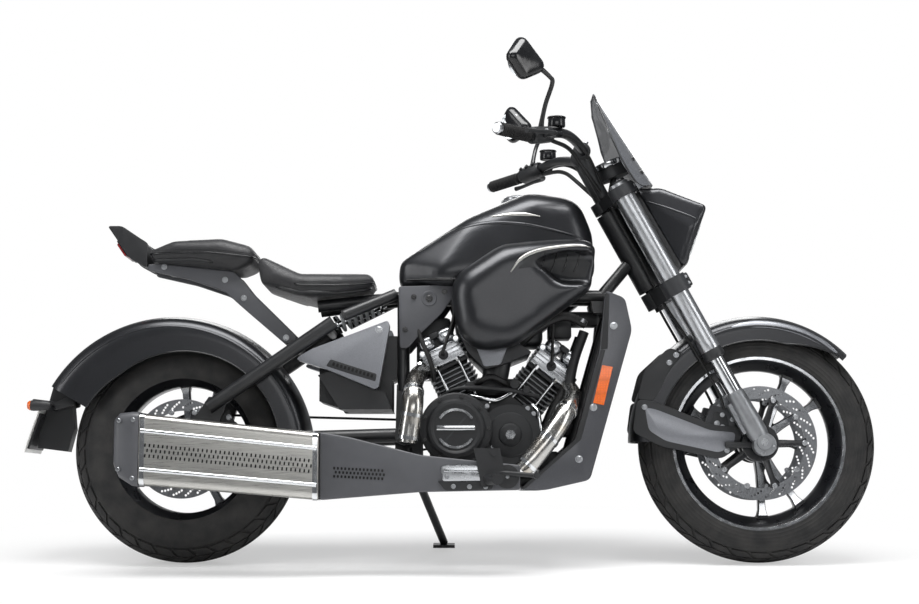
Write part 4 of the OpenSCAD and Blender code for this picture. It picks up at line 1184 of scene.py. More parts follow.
def lamp_cowl():
    """The pointed cowl over the headlamp, with its side lines and the lamp's bezel."""
    shell = softened("headlamp_cowl_shell", "headlamp_cowl", 5, 4)
    skin = Skin(shell)
    finish(shell, "steering", "charcoal paint", ["headlamp_cowl"], 60)
    trims = []
    for way in (-1, 1):
        trims.append(
            strip("line", skin, [(1196, 950), (1250, 930), (1310, 905), (1338, 892)], [3, 6, 6, 3], 1.2,
                2, way)
        )
    finish(join("headlamp_cowl_lines", trims), "steering", "charcoal paint", angle=50)
    rim_path = [(1306, -88, 808), (1334, -88, 890), (1334, 88, 890), (1306, 88, 808), (1306, -88, 808)]
    bezel = tube("headlamp_bezel", rim_path, 4.5, BIKE, 12, smooth=False)
    finish(bezel, "steering", "gloss moulding", angle=60)


def under_tank():
    """Dark side plates under the back of the tank, each with a round recess and screws."""
    outline = [(556, 718), (700, 722), (706, 700), (668, 646), (612, 592), (582, 556), (560, 556)]
    plates, heads = [], []
    for way in (-1, 1):
        plates.append(slab("plate", rounded(outline, 8), way * 98, 4, round_by=2.5))
        ring = [(11, 101.5), (14, 103.5), (19, 103.5), (21, 101.5)]
        at = BIKE @ Matrix.Translation((636, 0, 686)) @ Matrix.Diagonal((1, way, 1, 1))
        plates.append(spin("ring", ring, at, 40))
        heads.append(bolts("screw", [(596, 690), (574, 604), (676, 704)], way * 102, 6, 4, way=way))
        heads.append(bolts("screw", [(636, 686)], way * 102, 8, 4, way=way))
    finish(join("under_tank_plates", plates), "chassis", "dark grey paint")
    finish(join("under_tank_screws", heads), "chassis", "black steel")


def bodywork():
    """Everything painted, and what is fixed to it."""
    tank()
    under_tank()
    cowls()
    side_covers()
    rear_fender()
    front_fender()
    fender_panels()
    lamp_cowl()


# ---------------------------------------------------------------- engine

CRANK = (790, 300)
REAR_BANK, FRONT_BANK = -26, 38
PORT_REACH, PORT_Y = 252, -72


def bank(angle):
    """The frame of a cylinder: z up its bore from the crankshaft, y left."""
    return BIKE @ Matrix.Translation((CRANK[0], 0, CRANK[1])) @ Matrix.Rotation(math.radians(angle), 4, "Y")


def cylinder(name, angle, node):
    """A finned barrel with a bright head, rocker cover, studs and a plug cap."""
    at = bank(angle)
    core = [box("core", (0, 0, 186), (98, 134, 94), at, 9)]
    core.append(box("band", (0, 0, 322), (26, 192, 15), at, 4))
    core.append(box("neck", (0, 0, 236), (108, 168, 10), at, 2))
    cap = rod("cap", (0, -93, 268), (0, -70, 262), 13, at, 24, 3)
    core += [cap, rod("cap", (0, 93, 268), (0, 70, 262), 13, at, 24, 3)]
    finish(join(name + "_barrel", core), "chassis", "black casting", [node])
    fin = box("fin", (0, 0, 147), (118, 158, 3.4), LOCAL, 1.3, 2)
    fins = repeat(fin, 7, (0, 0, 12.2), place=at, material="grey casting")
    finish(fins, "chassis", "grey casting", angle=35)
    fins.name = name + "_fins"
    bright = [box("head", (0, 0, 267), (112, 176, 52), at, 7, 3)]
    bright.append(box("cover", (-27, 0, 312), (44, 190, 36), at, 13, 4))
    bright.append(box("cover", (27, 0, 312), (44, 190, 36), at, 13, 4))
    rib = box("rib", (0, 0, 250), (119, 182, 3.6), LOCAL, 1.4, 2)
    bright.append(repeat(rib, 4, (0, 0, 11.5), place=at, material="bright casting"))
    for way in (-1, 1):
        for x in (-48, 48):
            bright.append(rod("boss", (x, way * 70, 292), (x, way * 92, 292), 9, at, 20, 2))
    finish(join(name + "_head", bright), "chassis", "bright casting", angle=35)
    studs = []
    for way in (-1, 1):
        studs.append(bolts("stud", [(-48, 292), (48, 292), (-27, 312), (27, 312)], way * 94, 5, 3.5, at,
            way))
        for x in (-30, 30):
            studs.append(rod("rod", (x, way * 84, 138), (x, way * 84, 244), 4.2, at, 12))
            studs.append(rod("nut", (x, way * 84, 236), (x, way * 84, 247), 7, at, 6))
    for x in (-27, 27):
        for y in (-60, 0, 60):
            studs.append(rod("screw", (x, y, 328), (x, y, 331.5), 5, at, 12))
    finish(join(name + "_studs", studs), "chassis", "chrome")


def clutch():
    """The round clutch cover: black with a bright bar between two bright arcs, and a ring of screws."""
    cx, cz, r = 706, 345, 92
    at = BIKE @ Matrix.Translation((cx, 0, cz))
    dome = [
        (0.1, -172), (56, -172), (60, -174.5), (64, -176), (70, -175), (74, -170), (76, -166), (88, -164),
        (r, -160), (r, -140.5), (0.1, -140.5),
    ]
    finish(spin("clutch_dome", dome, at, 96), "chassis", "black casting",
        ["clutch_cover"], 25)
    bright = []
    for start in (32, 212):
        arc = []
        for k in range(25):
            a = math.radians(start + 116 * k / 24)
            arc.append([(q * math.cos(a), y, q * math.sin(a)) for q,
                y in ((44, -171.5), (52, -171.5), (51.2, -174.6), (44.8, -174.6))])
        bright.append(loft("arc", arc, at))
    bright.append(box("bar", (0, -173.4, 2), (98, 3.6, 13), at, 1.2))
    finish(join("clutch_bright_bars", bright), "chassis", "chrome", angle=30)
    ring = [(cx + 83 * math.cos(math.radians(a)), cz + 83 * math.sin(math.radians(a))) for a in range(0,
        360, 40)]
    finish(bolts("clutch_screws", ring, -164, 5, 4), "chassis", "black steel")


def cases():
    """Covers, screws, plugs and pipes on both sides of the crankcase."""
    dark, heads, shiny = [], [], []
    for way in (-1, 1):
        at = BIKE @ Matrix.Translation((845, 0, 330))
        shape = [(0.1, 150), (24, 150), (28, 148), (30, 143), (52, 143), (57, 141), (60, 136), (76, 135),
            (79, 131), (79, 112), (0.1, 112)]
        dark.append(spin("cover", [(r, way * y) for r, y in shape], at, 72))
        rim_spots = [(845 + 69 * math.cos(math.radians(a)),
            330 + 69 * math.sin(math.radians(a))) for a in range(20, 380, 45)]
        heads.append(bolts("screw", rim_spots, way * 135.5, 4.5, 4, way=way))
        side = [(640, 388), (650, 280), (700, 250), (762, 258), (800, 280), (812, 372), (770, 400),
            (700, 420)]
        y0, y1 = sorted((way * 112, way * 139))
        dark.append(plate("case", rounded(side, 16), y0, y1, round_by=4))
        for x, z, dx, dz in ((770, 405, 44, 30), (890, 395, 30, 26), (742, 268, 34, 20)):
            dark.append(box("lug", (x, way * 100, z), (dx, 66, dz), round_by=6))
        heads.append(bolts("screw", [(776, 392), (800, 300), (744, 262), (688, 262), (786, 404),
            (890, 398), (905, 384)], way * 138, 5, 4, way=way))
        shiny.append(rod("plug", (845, way * 149, 330), (845, way * 155, 330), 13, sides=6))
        shiny.append(rod("plug", (782, way * 136, 340), (782, way * 146, 340), 9, sides=24, edge=1))
        shiny.append(tube("pipe", [(742, way * 120, 432), (776, way * 132, 424), (812, way * 130, 420),
            (850, way * 118, 440)], 5.5, sides=14))
        shiny.append(tube("pipe", [(900, way * 112, 300), (922, way * 116, 340), (918, way * 112, 384),
            (905, way * 98, 410)], 6, sides=14))
    rib = box("rib", (700, 0, 240), (5, 150, 12), LOCAL, 1.5)
    dark.append(repeat(rib, 9, (16, 0, 0), material="black casting"))
    dark.append(box("filter", (905, -40, 262), (44, 60, 44), round_by=14))
    finish(join("engine_case_covers", dark), "chassis", "black casting", angle=30)
    finish(join("engine_case_screws", heads), "chassis", "bolt steel")
    finish(join("engine_bright_pipes", shiny), "chassis", "chrome")
    shell = spin("alternator_dome", [(0.1, 171), (30, 171), (40, 168), (44, 160), (50, 158), (54, 153),
        (54, 141), (0.1, 141)],
                 BIKE @ Matrix.Translation((845, 0, 334)), 72)
    finish(shell, "chassis", "black casting", ["alternator_cover"], 25)


def bank_point(angle, x, reach):
    a = math.radians(angle)
    return (CRANK[0] + reach * math.sin(a) + x * math.cos(a),
        CRANK[1] + reach * math.cos(a) - x * math.sin(a))


def intake():
    """The pale cover in the V, in a black frame, with hoses and leads behind it."""
    outline = [
        bank_point(REAR_BANK, 60.3, 316), (868, 568), bank_point(FRONT_BANK, -60.3, 262), (826, 512),
        (782, 500),
        bank_point(REAR_BANK, 60.3, 240),
    ]
    finish(plate("intake_frame", rounded(outline, 8), -118, 118, round_by=5, segments=3),
           "chassis", "black moulding", ["intake_cover"])
    face = [(752, 574), (842, 566), (822, 512), (778, 506)]
    pales = [slab("face", rounded(face, 8), w * 118.5, 2.5, round_by=2) for w in (-1, 1)]
    finish(join("intake_pale_faces", pales), "chassis", "grey paint")
    leads = []
    for way in (-1, 1):
        for angle, ends in ((REAR_BANK, [(700, 640), (690, 690)]), (FRONT_BANK, [(958, 590), (962, 680)])):
            x, z = bank_point(angle, 0, 268)
            path = [(x, way * 94, z), (x, way * 112, z + 8), *[(a, way * 96, b) for a, b in ends]]
            leads.append(tube("lead", path, 4.2, sides=12))
    for path, r in (
        ([(905, -96, 300), (940, -104, 350), (972, -100, 420), (1010, -84, 480)], 12),
        ([(864, -70, 560), (920, -96, 610), (990, -92, 640), (1044, -84, 620)], 12),
        ([(740, -60, 440), (772, -112, 470), (800, -118, 480), (838, -104, 462)], 8),
        ([(905, 96, 300), (940, 104, 350), (972, 100, 420), (1010, 84, 480)], 12),
        ([(650, -96, 470), (640, -112, 520), (612, -100, 590), (600, -80, 660)], 6),
        ([(660, 96, 470), (640, 108, 520), (612, 100, 590), (600, 80, 660)], 6),
    ):
        leads.append(tube("hose", path, r, sides=16))
    finish(join("engine_hoses_and_leads", leads), "chassis", "hose rubber", angle=60)
    clips = []
    for x, y, z in ((908, -97, 306), (1002, -86, 470), (868, -74, 564), (1034, -86, 624)):
        clips.append(tube("clip", [(x, y, z), (x + 5, y, z + 9)], 13.6, sides=24, smooth=False))
    finish(join("hose_clips", clips), "chassis", "bolt steel")


def airbox():
    """What fills the V and the space round it: airbox, throttle bodies, coil, pump, starter and brackets."""
    dark = [
        box("airbox", (828, 0, 610), (210, 150, 90), round_by=18, segments=3),
        rod("throttle", (806, -62, 470), (824, -40, 560), 34, sides=40, edge=4),
        rod("throttle", (806, 62, 470), (824, 40, 560), 34, sides=40, edge=4),
        box("starter", (806, 0, 455), (120, 170, 46), round_by=12),
        box("coil", (980, 0, 610), (60, 90, 46), round_by=6),
        box("tray", (648, 0, 560), (90, 130, 160), round_by=12),
        rod("pump", (922, -104, 300), (922, -70, 300), 30, sides=40, edge=4),
        rod("pump", (922, -116, 300), (922, -104, 300), 20, sides=40, edge=2),
        box("regulator", (948, 0, 260), (50, 120, 60), round_by=6),
        box("loom", (1010, 0, 640), (150, 60, 40), round_by=14),
        rod("link", (1006, -66, 400), (1006, 66, 400), 12, sides=24),
        box("mount", (984, 0, 360), (56, 138, 60), round_by=10),
    ]
    fin = box("fin", (952, 0, 236), (4, 120, 22), LOCAL, 1)
    dark.append(repeat(fin, 1, (0, 0, 0), material="black casting"))
    for way in (-1, 1):
        for x, z, r in ((742, 455, 13), (858, 462, 13), (888, 446, 10)):
            dark.append(rod("knob", (x, way * 66, z), (x, way * 124, z), r, sides=24, edge=2))
        dark.append(tube("loom", [(660, way * 90, 420), (700, way * 126, 446), (760, way * 128, 452),
            (840, way * 124, 446), (920, way * 104, 430)], 6, sides=12))
        dark.append(tube("pipe", [(930, way * 80, 292), (968, way * 96, 330), (992, way * 98, 420),
            (1012, way * 92, 520), (1040, way * 90, 600)], 13, sides=20))
    finish(join("airbox_and_throttles", dark), "chassis", "black moulding", angle=40)


def engine():
    airbox()
    cylinder("front_cylinder", FRONT_BANK, "front_cylinder")
    cylinder("rear_cylinder", REAR_BANK, "rear_cylinder")
    clutch()
    cases()
    intake()


# ---------------------------------------------------------------- exhaust


def port(angle, way, out, reach, y):
    a = math.radians(angle)
    return (
        CRANK[0] + reach * math.sin(a) + way * (60 + out) * math.cos(a),
        y,
        CRANK[1] + reach * math.cos(a) - way * (60 + out) * math.sin(a),
    )


def headers():
    """The two header pipes with flanges, nuts, heat shields and clamps."""
    front = [port(FRONT_BANK, 1, 4, PORT_REACH, PORT_Y), (1006, -122, 430), (984, -176, 384),
        (946, -204, 326), (900, -214, 268), (872, -214, 238)]
    rear = [port(REAR_BANK, -1, 4, PORT_REACH, PORT_Y), (606, -126, 480), (598, -186, 446),
        (598, -214, 404), (590, -214, 350), (584, -214, 308)]
    for end, path in (("front", front), ("rear", rear)):
        pipe = tube(end + "_header", path, 22.5, sides=32)
        finish(pipe, "chassis", "header steel", [end + "_exhaust_pipe"], 60)
    shields, bands = [], []
    for path, first, last in ((front, 0.34, 0.9), (rear, 0.42, 0.95)):
        line = curve_through(path, 10)
        part = line[int(first * len(line)) : int(last * len(line))]
        rings = []
        for p, (side, up) in zip(part, frames_along(part)):
            ring = []
            for r, order in ((26.5, range(13)), (25.2, range(12, -1, -1))):
                for k in order:
                    a = math.radians(-100 + 200 * k / 12)
                    away = Vector((0, -1, 0))
                    away = (away - side.cross(up) * away.dot(side.cross(up))).normalized()
                    across = away.cross(side.cross(up))
                    ring.append(p + r * (math.cos(a) * away + math.sin(a) * across))
            rings.append(ring)
        shields.append(loft("shield", rings))
        for f in (0.06, 0.5, 0.94):
            i = min(int(f * len(part)), len(part) - 2)
            bands.append(tube("band", [part[i], part[i] + (part[i + 1] - part[i]).normalized() * 9], 28,
                sides=32, smooth=False))
    finish(join("header_heat_shields", shields), "chassis", "header steel", angle=40)
    for path, angle, way in ((front, FRONT_BANK, 1), (rear, REAR_BANK, -1)):
        a, b = port(angle, way, 1, PORT_REACH, PORT_Y), port(angle, way, 9, PORT_REACH, PORT_Y)
        bands.append(rod("flange", a, b, 29, sides=6))
    finish(join("header_clamps", bands), "chassis", "chrome", angle=35)


def collector():
    """The dark collector box with its pierced plate, whose holes are dark sheets of painted shade, and the bright
    casting at its front.
    """
    outline = [(366.6, 333), (442, 320), (617, 276), (741, 263), (866, 251), (866, 189), (617, 184),
        (366.6, 164)]
    finish(plate("collector_box", rounded(outline, 8), -262, -184, round_by=9, segments=4),
           "chassis", "dark grey paint", ["exhaust_box"], 30)
    finish(box("collector_bracket", (600, -136, 213), (24, 100, 13), round_by=2), "chassis",
        "frame black")
    # Dark sheets in the pierced plate: painted shade that stands for the shade inside its holes.
    holes = []
    for row in range(3):
        unit = plate("hole", rounded([(-2.6, -3.4), (2.6, -3.4), (2.6, 3.4), (-2.6, 3.4)], 2.4, 3), -0.6,
            0.6, LOCAL)
        at = BIKE @ Matrix.Translation((404 + 4 * (row % 2), -262.2,
            243 - 10 * row)) @ Matrix.Rotation(math.radians(3), 4, "Y")
        holes.append(repeat(unit, 14, (9.2, 0, 0), place=at, material="painted hole shade"))
    finish(join("collector_holes", holes), "chassis", "painted hole shade")
    block = [(668, 247), (690, 252), (790, 250), (800, 240), (796, 212), (672, 210)]
    bright = [plate("block", rounded(block, 8), -267, -258, round_by=3)]
    bright.append(box("lip", (732, -266, 236), (112, 6, 5), round_by=2))
    finish(join("collector_bright_block", bright), "chassis", "bright casting")
    dark = [rod("boss", (834, -258, 222), (834, -268, 222), 30, sides=40, edge=3)]
    dark.append(plate("skirt", rounded([(660, 212), (800, 208), (796, 190), (680, 187)], 6), -266, -258,
        round_by=2))
    finish(join("collector_front_cover", dark), "chassis", "black casting")
    heads = [(684, 222), (786, 222), (834, 222), (700, 198), (740, 197), (780, 197)]
    finish(bolts("collector_screws", heads, -267, 5, 4), "chassis", "bolt steel")


def section_box(x, low, high, near, far, corner, grow=0.0):
    """A rounded rectangle in the plane across the bike at x."""
    outline = rounded([(near + grow, low + grow), (far - grow, low + grow), (far - grow, high - grow),
        (near + grow, high - grow)], corner, 6)
    return [(x, y, z) for y, z in outline]


def muffler_edges(x):
    """The lowest and highest z of the muffler at x."""
    t = (x + 78) / 444
    return 201 - 37 * t, 378 - 47 * t


def muffler():
    """The flat-sided brushed muffler: two ridges, a band of slots between them drawn as dark sheets of painted
    shade, straps and a dark end.
    """
    rings = []
    for x in (-78, -60, 0, 90, 180, 270, 350, 366):
        low, high = muffler_edges(x)
        rings.append(section_box(x, low, high, -290, -178, 20))
    finish(loft("muffler_shell", rings), "chassis", "brushed steel", ["muffler"], 40)
    ridges = []
    for share in (0.22, 0.76):
        path = []
        for x in (-74, 60, 200, 362):
            low, high = muffler_edges(x)
            path.append((x, -290.5, low + (high - low) * share))
        ridges.append(tube("ridge", path, 5.5, sides=16))
    finish(join("muffler_ridges", ridges), "chassis", "chrome", angle=60)
    # Dark sheets in the band between the ridges: painted shade that stands for the shade inside its slots.
    slots = []
    slope = math.atan2(42, 444)
    for row in range(3):
        unit = plate("slot", rounded([(-1.9, -4.4), (1.9, -4.4), (1.9, 4.4), (-1.9, 4.4)], 1.8, 3), -0.7,
            0.7, LOCAL)
        low, high = muffler_edges(-62)
        z = low + (high - low) * 0.49 + 13 - 13 * row
        at = BIKE @ Matrix.Translation((-62 + 5.5 * (row % 2), -290.2, z)) @ Matrix.Rotation(slope, 4, "Y")
        slots.append(repeat(unit, 38, (11, 0, 0), place=at, material="painted hole shade"))
    finish(join("muffler_slots", slots), "chassis", "painted hole shade")
    bands = []
    for x in (-76, 352):
        pair = []
        for dx in (0, 12):
            low, high = muffler_edges(x + dx)
            pair.append(section_box(x + dx, low, high, -290, -178, 20, -1.8))
        bands.append(loft("band", pair))
    finish(join("muffler_bands", bands), "chassis", "chrome", angle=40)
    rings = []
    for x, grow, low, high in ((-79, -2.5, 199, 379), (-96, -2.5, 202, 380), (-128, 0, 220, 379),
            (-141, 8, 238, 374)):
        rings.append(section_box(x, low, high, -290, -178, 22, grow))
    cap = loft("muffler_end", rings)
    finish(bevel(cap, 3, 2, 40), "chassis", "dark grey paint", ["muffler_end_cap"], 40)
    outlet = BIKE @ Matrix.Translation((0, -234, 306)) @ Matrix.Rotation(math.radians(90), 4, "Z")
    ring = [(26, 140), (33, 140), (35, 143), (33, 145), (29, 145), (27, 141), (26, 118)]
    finish(spin("outlet_ring", [(r, y) for r, y in ring] + [(0.1, 118)], outlet, 48), "chassis",
        "black steel", angle=40)
    finish(box("muffler_hanger", (-10, -152, 330), (38, 52, 22), round_by=3), "chassis", "frame black")
    screws = bolts("muffler_end_screws", [(-92, 362), (-92, 218), (-128, 360), (-128, 240)], -292.3, 5, 3)
    finish(screws, "chassis", "bolt steel")


def exhaust():
    headers()
    collector()
    muffler()


# ---------------------------------------------------------------- seats


def along_tree():
    """A tree that sets copies of a piece at an even spacing along the edges of a path."""
    tree = bpy.data.node_groups.new("Along", "GeometryNodeTree")
    tree.is_modifier = True
    face = tree.interface
    face.new_socket("Geometry", in_out="INPUT", socket_type="NodeSocketGeometry")
    for label, kind in (
        ("Spacing", "NodeSocketFloat"),
        ("Piece", "NodeSocketObject"),
        ("Material", "NodeSocketMaterial"),
    ):
        face.new_socket(label, in_out="INPUT", socket_type=kind)
    face.new_socket("Geometry", in_out="OUTPUT", socket_type="NodeSocketGeometry")
    given = add(tree, "NodeGroupInput").outputs
    line = add(tree, "GeometryNodeMeshToCurve", links={0: given["Geometry"]})
    points = add(
        tree,
        "GeometryNodeCurveToPoints",
        links={"Curve": line.outputs[0], "Length": given["Spacing"]},
        mode="LENGTH",
    )
    piece = add(tree, "GeometryNodeObjectInfo", links={"Object": given["Piece"]})
    copies = add(
        tree,
        "GeometryNodeInstanceOnPoints",
        links={
            "Points": points.outputs["Points"],
            "Rotation": points.outputs["Rotation"],
            "Instance": piece.outputs["Geometry"],
        },
    )
    real = add(tree, "GeometryNodeRealizeInstances", links={0: copies.outputs[0]})
    painted = add(
        tree,
        "GeometryNodeSetMaterial",
        links={"Geometry": real.outputs[0], "Material": given["Material"]},
    )
    add(tree, "NodeGroupOutput", links={0: painted.outputs[0]})
    return tree


def stitches(name, path, pitch, material="seat vinyl"):
    """A row of thread stitches along a path of points in the bike's millimetres."""
    data = bpy.data.meshes.new(name)
    data.from_pydata([BIKE @ Vector(p) for p in path], [(i, i + 1) for i in range(len(path) - 1)], [])
    row = bpy.data.objects.new(name, data)
    bpy.context.collection.objects.link(row)
    stitch = rod("stitch", (0, 0, -1.9), (0, 0, 1.9), 0.75, LOCAL, 6)
    tree = bpy.data.node_groups.get("Along") or along_tree()
    mod = row.modifiers.new("Along", "NODES")
    mod.node_group = tree
    wanted = {"Spacing": pitch, "Piece": stitch, "Material": MATERIALS[material]}
    for item in tree.interface.items_tree:
        if item.in_out == "INPUT" and item.name in wanted:
            mod[item.identifier] = wanted[item.name]
    bake(row)
    bpy.data.objects.remove(stitch)
    return row


def ring_round(skin_of, centre, height, out=0.0, steps=72):
    """Points round a shell where it meets a sheet z = height(x), out mm off its skin."""
    inverse = BIKE.inverted()
    data = skin_of.data
    tree = BVHTree.FromPolygons([inverse @ v.co for v in data.vertices],
        [tuple(f.vertices) for f in data.polygons])
    points = []
    for k in range(steps):
        a = math.tau * k / steps
        way = Vector((math.cos(a), math.sin(a), 0))
        start = Vector(centre) + way * 500
        start.z = height(start.x) if callable(height) else height
        hit = None
        for _ in range(3):
            hit = tree.ray_cast(start, -way)[0]
            if hit is None:
                break
            start.z = height(hit.x) if callable(height) else height
        if hit is not None:
            points.append(hit + way * out)
    return points


def seat_pad(name, node, voxel, centre, piping, base, stitch_pitch):
    """A moulded foam pad in a sewn vinyl cover, with piping, stitches and a black base lip."""
    pad = softened(name, node, voxel, 6)
    data = pad.data
    random.seed(7)
    ring = ring_round(pad, centre, piping, 0.6)
    lip = ring_round(pad, centre, base, 0.8)
    top = ring_round(pad, centre, lambda x: piping(x) + 9, 0.4)
    finish(pad, "chassis", "seat vinyl", [node], 80)
    del data
    made = []
    if len(ring) > 20:
        made.append(tube("piping", [*ring, ring[0]], 2.6, sides=8, smooth=False))
    finish(join(name + "_piping", made), "chassis", "gloss moulding", angle=80)
    if len(lip) > 20:
        edge = tube("lip", [*lip, lip[0]], 4.6, sides=8, smooth=False)
        edge.name = name + "_base_lip"
        finish(edge, "chassis", "black moulding", angle=80)
    if len(top) > 20:
        finish(stitches(name + "_stitches", [*top, top[0]], stitch_pitch), "chassis", "black moulding")


def seats(sizes):
    """The scooped rider's seat and the wedge of the pillion seat."""
    seat_pad(
        "rider_seat_cover", "rider_seat", 7, (330, 0, 720),
        lambda x: 716 + max(0, 300 - x) * 0.34 if x < 300 else 716 + max(0, x - 400) * 0.14,
        lambda x: 698 + max(0, 300 - x) * 0.28 if x < 300 else 698 + max(0, x - 400) * 0.2,
        sizes.stitch,
    )
    seat_pad(
        "pillion_seat_cover", "pillion_seat", 6, (40, 0, 805),
        lambda x: 806 - max(0, x - 60) * 0.10, lambda x: 789 - max(0, x - 20) * 0.14, sizes.stitch,
    )


# ---------------------------------------------------------------- rear end


def rear_end():
    """Shock, tail hoop and arms, plate carrier, lamps and rear caliper."""
    low, high = Vector((383, 0, 622)), Vector((520, 0, 690))
    along = (high - low).normalized()
    up = Vector((-along.z, 0, along.x))
    coil, turns, steps = [], 6.5, 24
    for k in range(int(turns * steps) + 1):
        a = math.tau * k / steps
        p = low + along * (14 + 108 * k / (turns * steps))
        coil.append(p + 21 * (math.cos(a) * up + math.sin(a) * Vector((0, 1, 0))))
    finish(tube("shock_spring", coil, 4.4, sides=10, smooth=False), "chassis", "spring steel",
        ["rear_shock"], 60)
    parts = [rod("rod", low, high, 9, sides=24), rod("can", low + along * 62, high - along * 4, 15,
        sides=32, edge=2)]
    parts.append(rod("eye", high - Vector((0, 29, 0)), high + Vector((0, 29, 0)), 9, edge=1))
    parts.append(rod("seat", low + along * 6, low + along * 13, 25, sides=32, edge=1))
    parts.append(rod("seat", high - along * 24, high - along * 16, 25, sides=32, edge=1))
    finish(join("shock_body", parts), "chassis", "chrome", angle=40)

    arm = [(-104, 779), (-80, 781.5), (120, 761.5), (132, 754), (165, 712), (290, 590), (290, 580),
        (262, 567), (139, 672), (99, 708), (7, 739), (-104, 764)]
    arms = [slab("arm", rounded(arm, 10), w * 67, 9, round_by=3.5, segments=3) for w in (-1, 1)]
    arms.append(plate("bridge", [(-60, 770), (60, 758), (60, 750), (-60, 761)], -58, 58, round_by=2))
    finish(join("seat_arms", arms), "chassis", "dark grey paint", ["seat_support"])
    heads = []
    for way in (-1, 1):
        heads.append(bolts("bolt", [(-60, 772), (100, 738), (262, 586), (150, 690)], way * 76.3, 6.5, 4,
            way=way))
    finish(join("seat_arm_bolts", heads), "chassis", "bolt steel")

    hoop = rounded([(-210, 880), (-172, 880), (-120, 845), (-104.5, 836), (-104.5, 769), (-150, 794)], 9)
    sides = [slab("side", hoop, w * 75, 9, round_by=4, segments=3) for w in (-1, 1)]
    sides.append(plate("top", rounded([(-209, 879), (-173, 879), (-168, 868), (-199, 862)], 5), -70, 70,
        round_by=3))
    sides.append(plate("foot", rounded([(-150, 796), (-104.5, 771), (-104.5, 832), (-122, 838)], 5), -70,
        70, round_by=3))
    sides.append(plate("back", rounded([(-199, 864), (-186, 864), (-140, 800), (-149, 796)], 5), -70, 70,
        round_by=3))
    finish(join("tail_hoop_frame", sides), "chassis", "black casting", ["tail_hoop"])

    def hoop_face(along_by, out):
        return (-150 - 0.572 * along_by - 0.82 * out, 794 + 0.82 * along_by - 0.572 * out)

    glow = [hoop_face(15, 1), hoop_face(59, 1), hoop_face(56, 10), hoop_face(18, 10)]
    lamp = plate("tail_lamp_lens", rounded(glow, 3), -56, 56, round_by=2.5)
    finish(lamp, "chassis", "red lens", ["tail_lamp"])
    bezel = [hoop_face(10, 0.6), hoop_face(64, 0.6), hoop_face(62, 5), hoop_face(12, 5)]
    finish(plate("tail_lamp_bezel", rounded(bezel, 2), -60, 60, round_by=1.5), "chassis",
        "gloss moulding")

    # Plate carrier and what it holds
    stay = [(-300, 440), (-338, 420), (-372, 424), (-405, 428), (-405, 414), (-372, 408), (-340, 398),
        (-296, 410)]
    extra = [slab("stay", rounded(stay, 6), w * 40, 6, round_by=2) for w in (-1, 1)]
    finish(join("plate_stays", extra), "chassis", "black moulding")
    lamps, cups = [], []
    for way in (-1, 1):
        at = BIKE @ Matrix.Translation((-368, way * 122, 406)) @ Matrix.Rotation(math.radians(90), 4, "Z")
        cup = [(0.1, -30), (8, -30), (12, -24), (13.5, -6), (14, 14), (13.2, 20), (0.1, 20)]
        cups.append(spin("cup", cup, at, 40))
        glass = [(0.1, 20), (12.6, 20), (12.4, 24), (9, 28.6), (0.1, 30)]
        lamps.append(spin("glass", glass, at, 40))
        cups.append(tube("stalk", [(-350, way * 22.5, 404), (-352, way * 66, 405),
            (-354, way * 110, 406)], [9, 6.5, 8], sides=16))
    finish(join("rear_indicator_cups", cups), "chassis", "black moulding",
        ["rear_indicators"], 40)
    finish(join("rear_indicator_lenses", lamps), "chassis", "amber lens", angle=40)

    caliper = [(70, 340), (104, 296), (150, 330), (118, 396)]
    body = [plate("body", rounded(caliper, 14), -109, -104, round_by=1.8, segments=2)]
    body.append(plate("body", rounded(caliper, 14), -92, -86.5, round_by=1.8, segments=2))
    body.append(rod("bridge", (128, -109, 352), (128, -86, 352), 15, edge=2))
    body.append(rod("piston", (108, -113, 340), (108, -104, 340), 15, sides=36, edge=2))
    finish(join("rear_caliper_body", body), "chassis", "black casting")
    finish(bolts("rear_caliper_screws", [(88, 336), (134, 336), (120, 376)], -109.5, 6, 4), "chassis",
        "bolt steel")

    nuts = []
    for way in (-1, 1):
        nuts.append(rod("nut", (0, way * 132, REAR_AXLE_Z), (0, way * 144, REAR_AXLE_Z), 18, sides=6,
            edge=1))
        nuts.append(rod("washer", (0, way * 131, REAR_AXLE_Z), (0, way * 134, REAR_AXLE_Z), 24, sides=48))
        nuts.append(rod("pivot", (575, way * 146, 330), (575, way * 151, 330), 16, sides=32, edge=1.5))
        nuts.append(rod("adjust", (-34, way * 128, REAR_AXLE_Z - 10), (-46, way * 128, REAR_AXLE_Z - 10),
            5, sides=6))
    finish(join("rear_axle_nuts", nuts), "chassis", "bolt steel")

    holes = plate("hole", rounded([(42, -9), (70, -15), (70, 15), (42, 9)], 6, 4), -1.2, 1.2, LOCAL, 0.6)
    at = REAR @ Matrix.Translation((0, 107.6, 0))
    finish(repeat(holes, 5, turn=(0, 72, 0), place=at, material="machined"), "rear_wheel", "machined")


# ---------------------------------------------------------------- cooling


SHROUD = [(1091, 702), (1142, 682), (1159, 599), (1048, 215), (933, 189), (869, 189), (1010, 316),
    (1076, 547)]


def face_x(z):
    return 1147 + (z - 600) * 0.289


SHROUD_INNER_EDGE = [(1078, 548), (1090, 548), (1026, 318), (884, 194), (872, 194), (1010, 318)]
SHROUD_UPPER_EDGE = [(1092, 696), (1102, 692), (1096, 550), (1078, 548)]


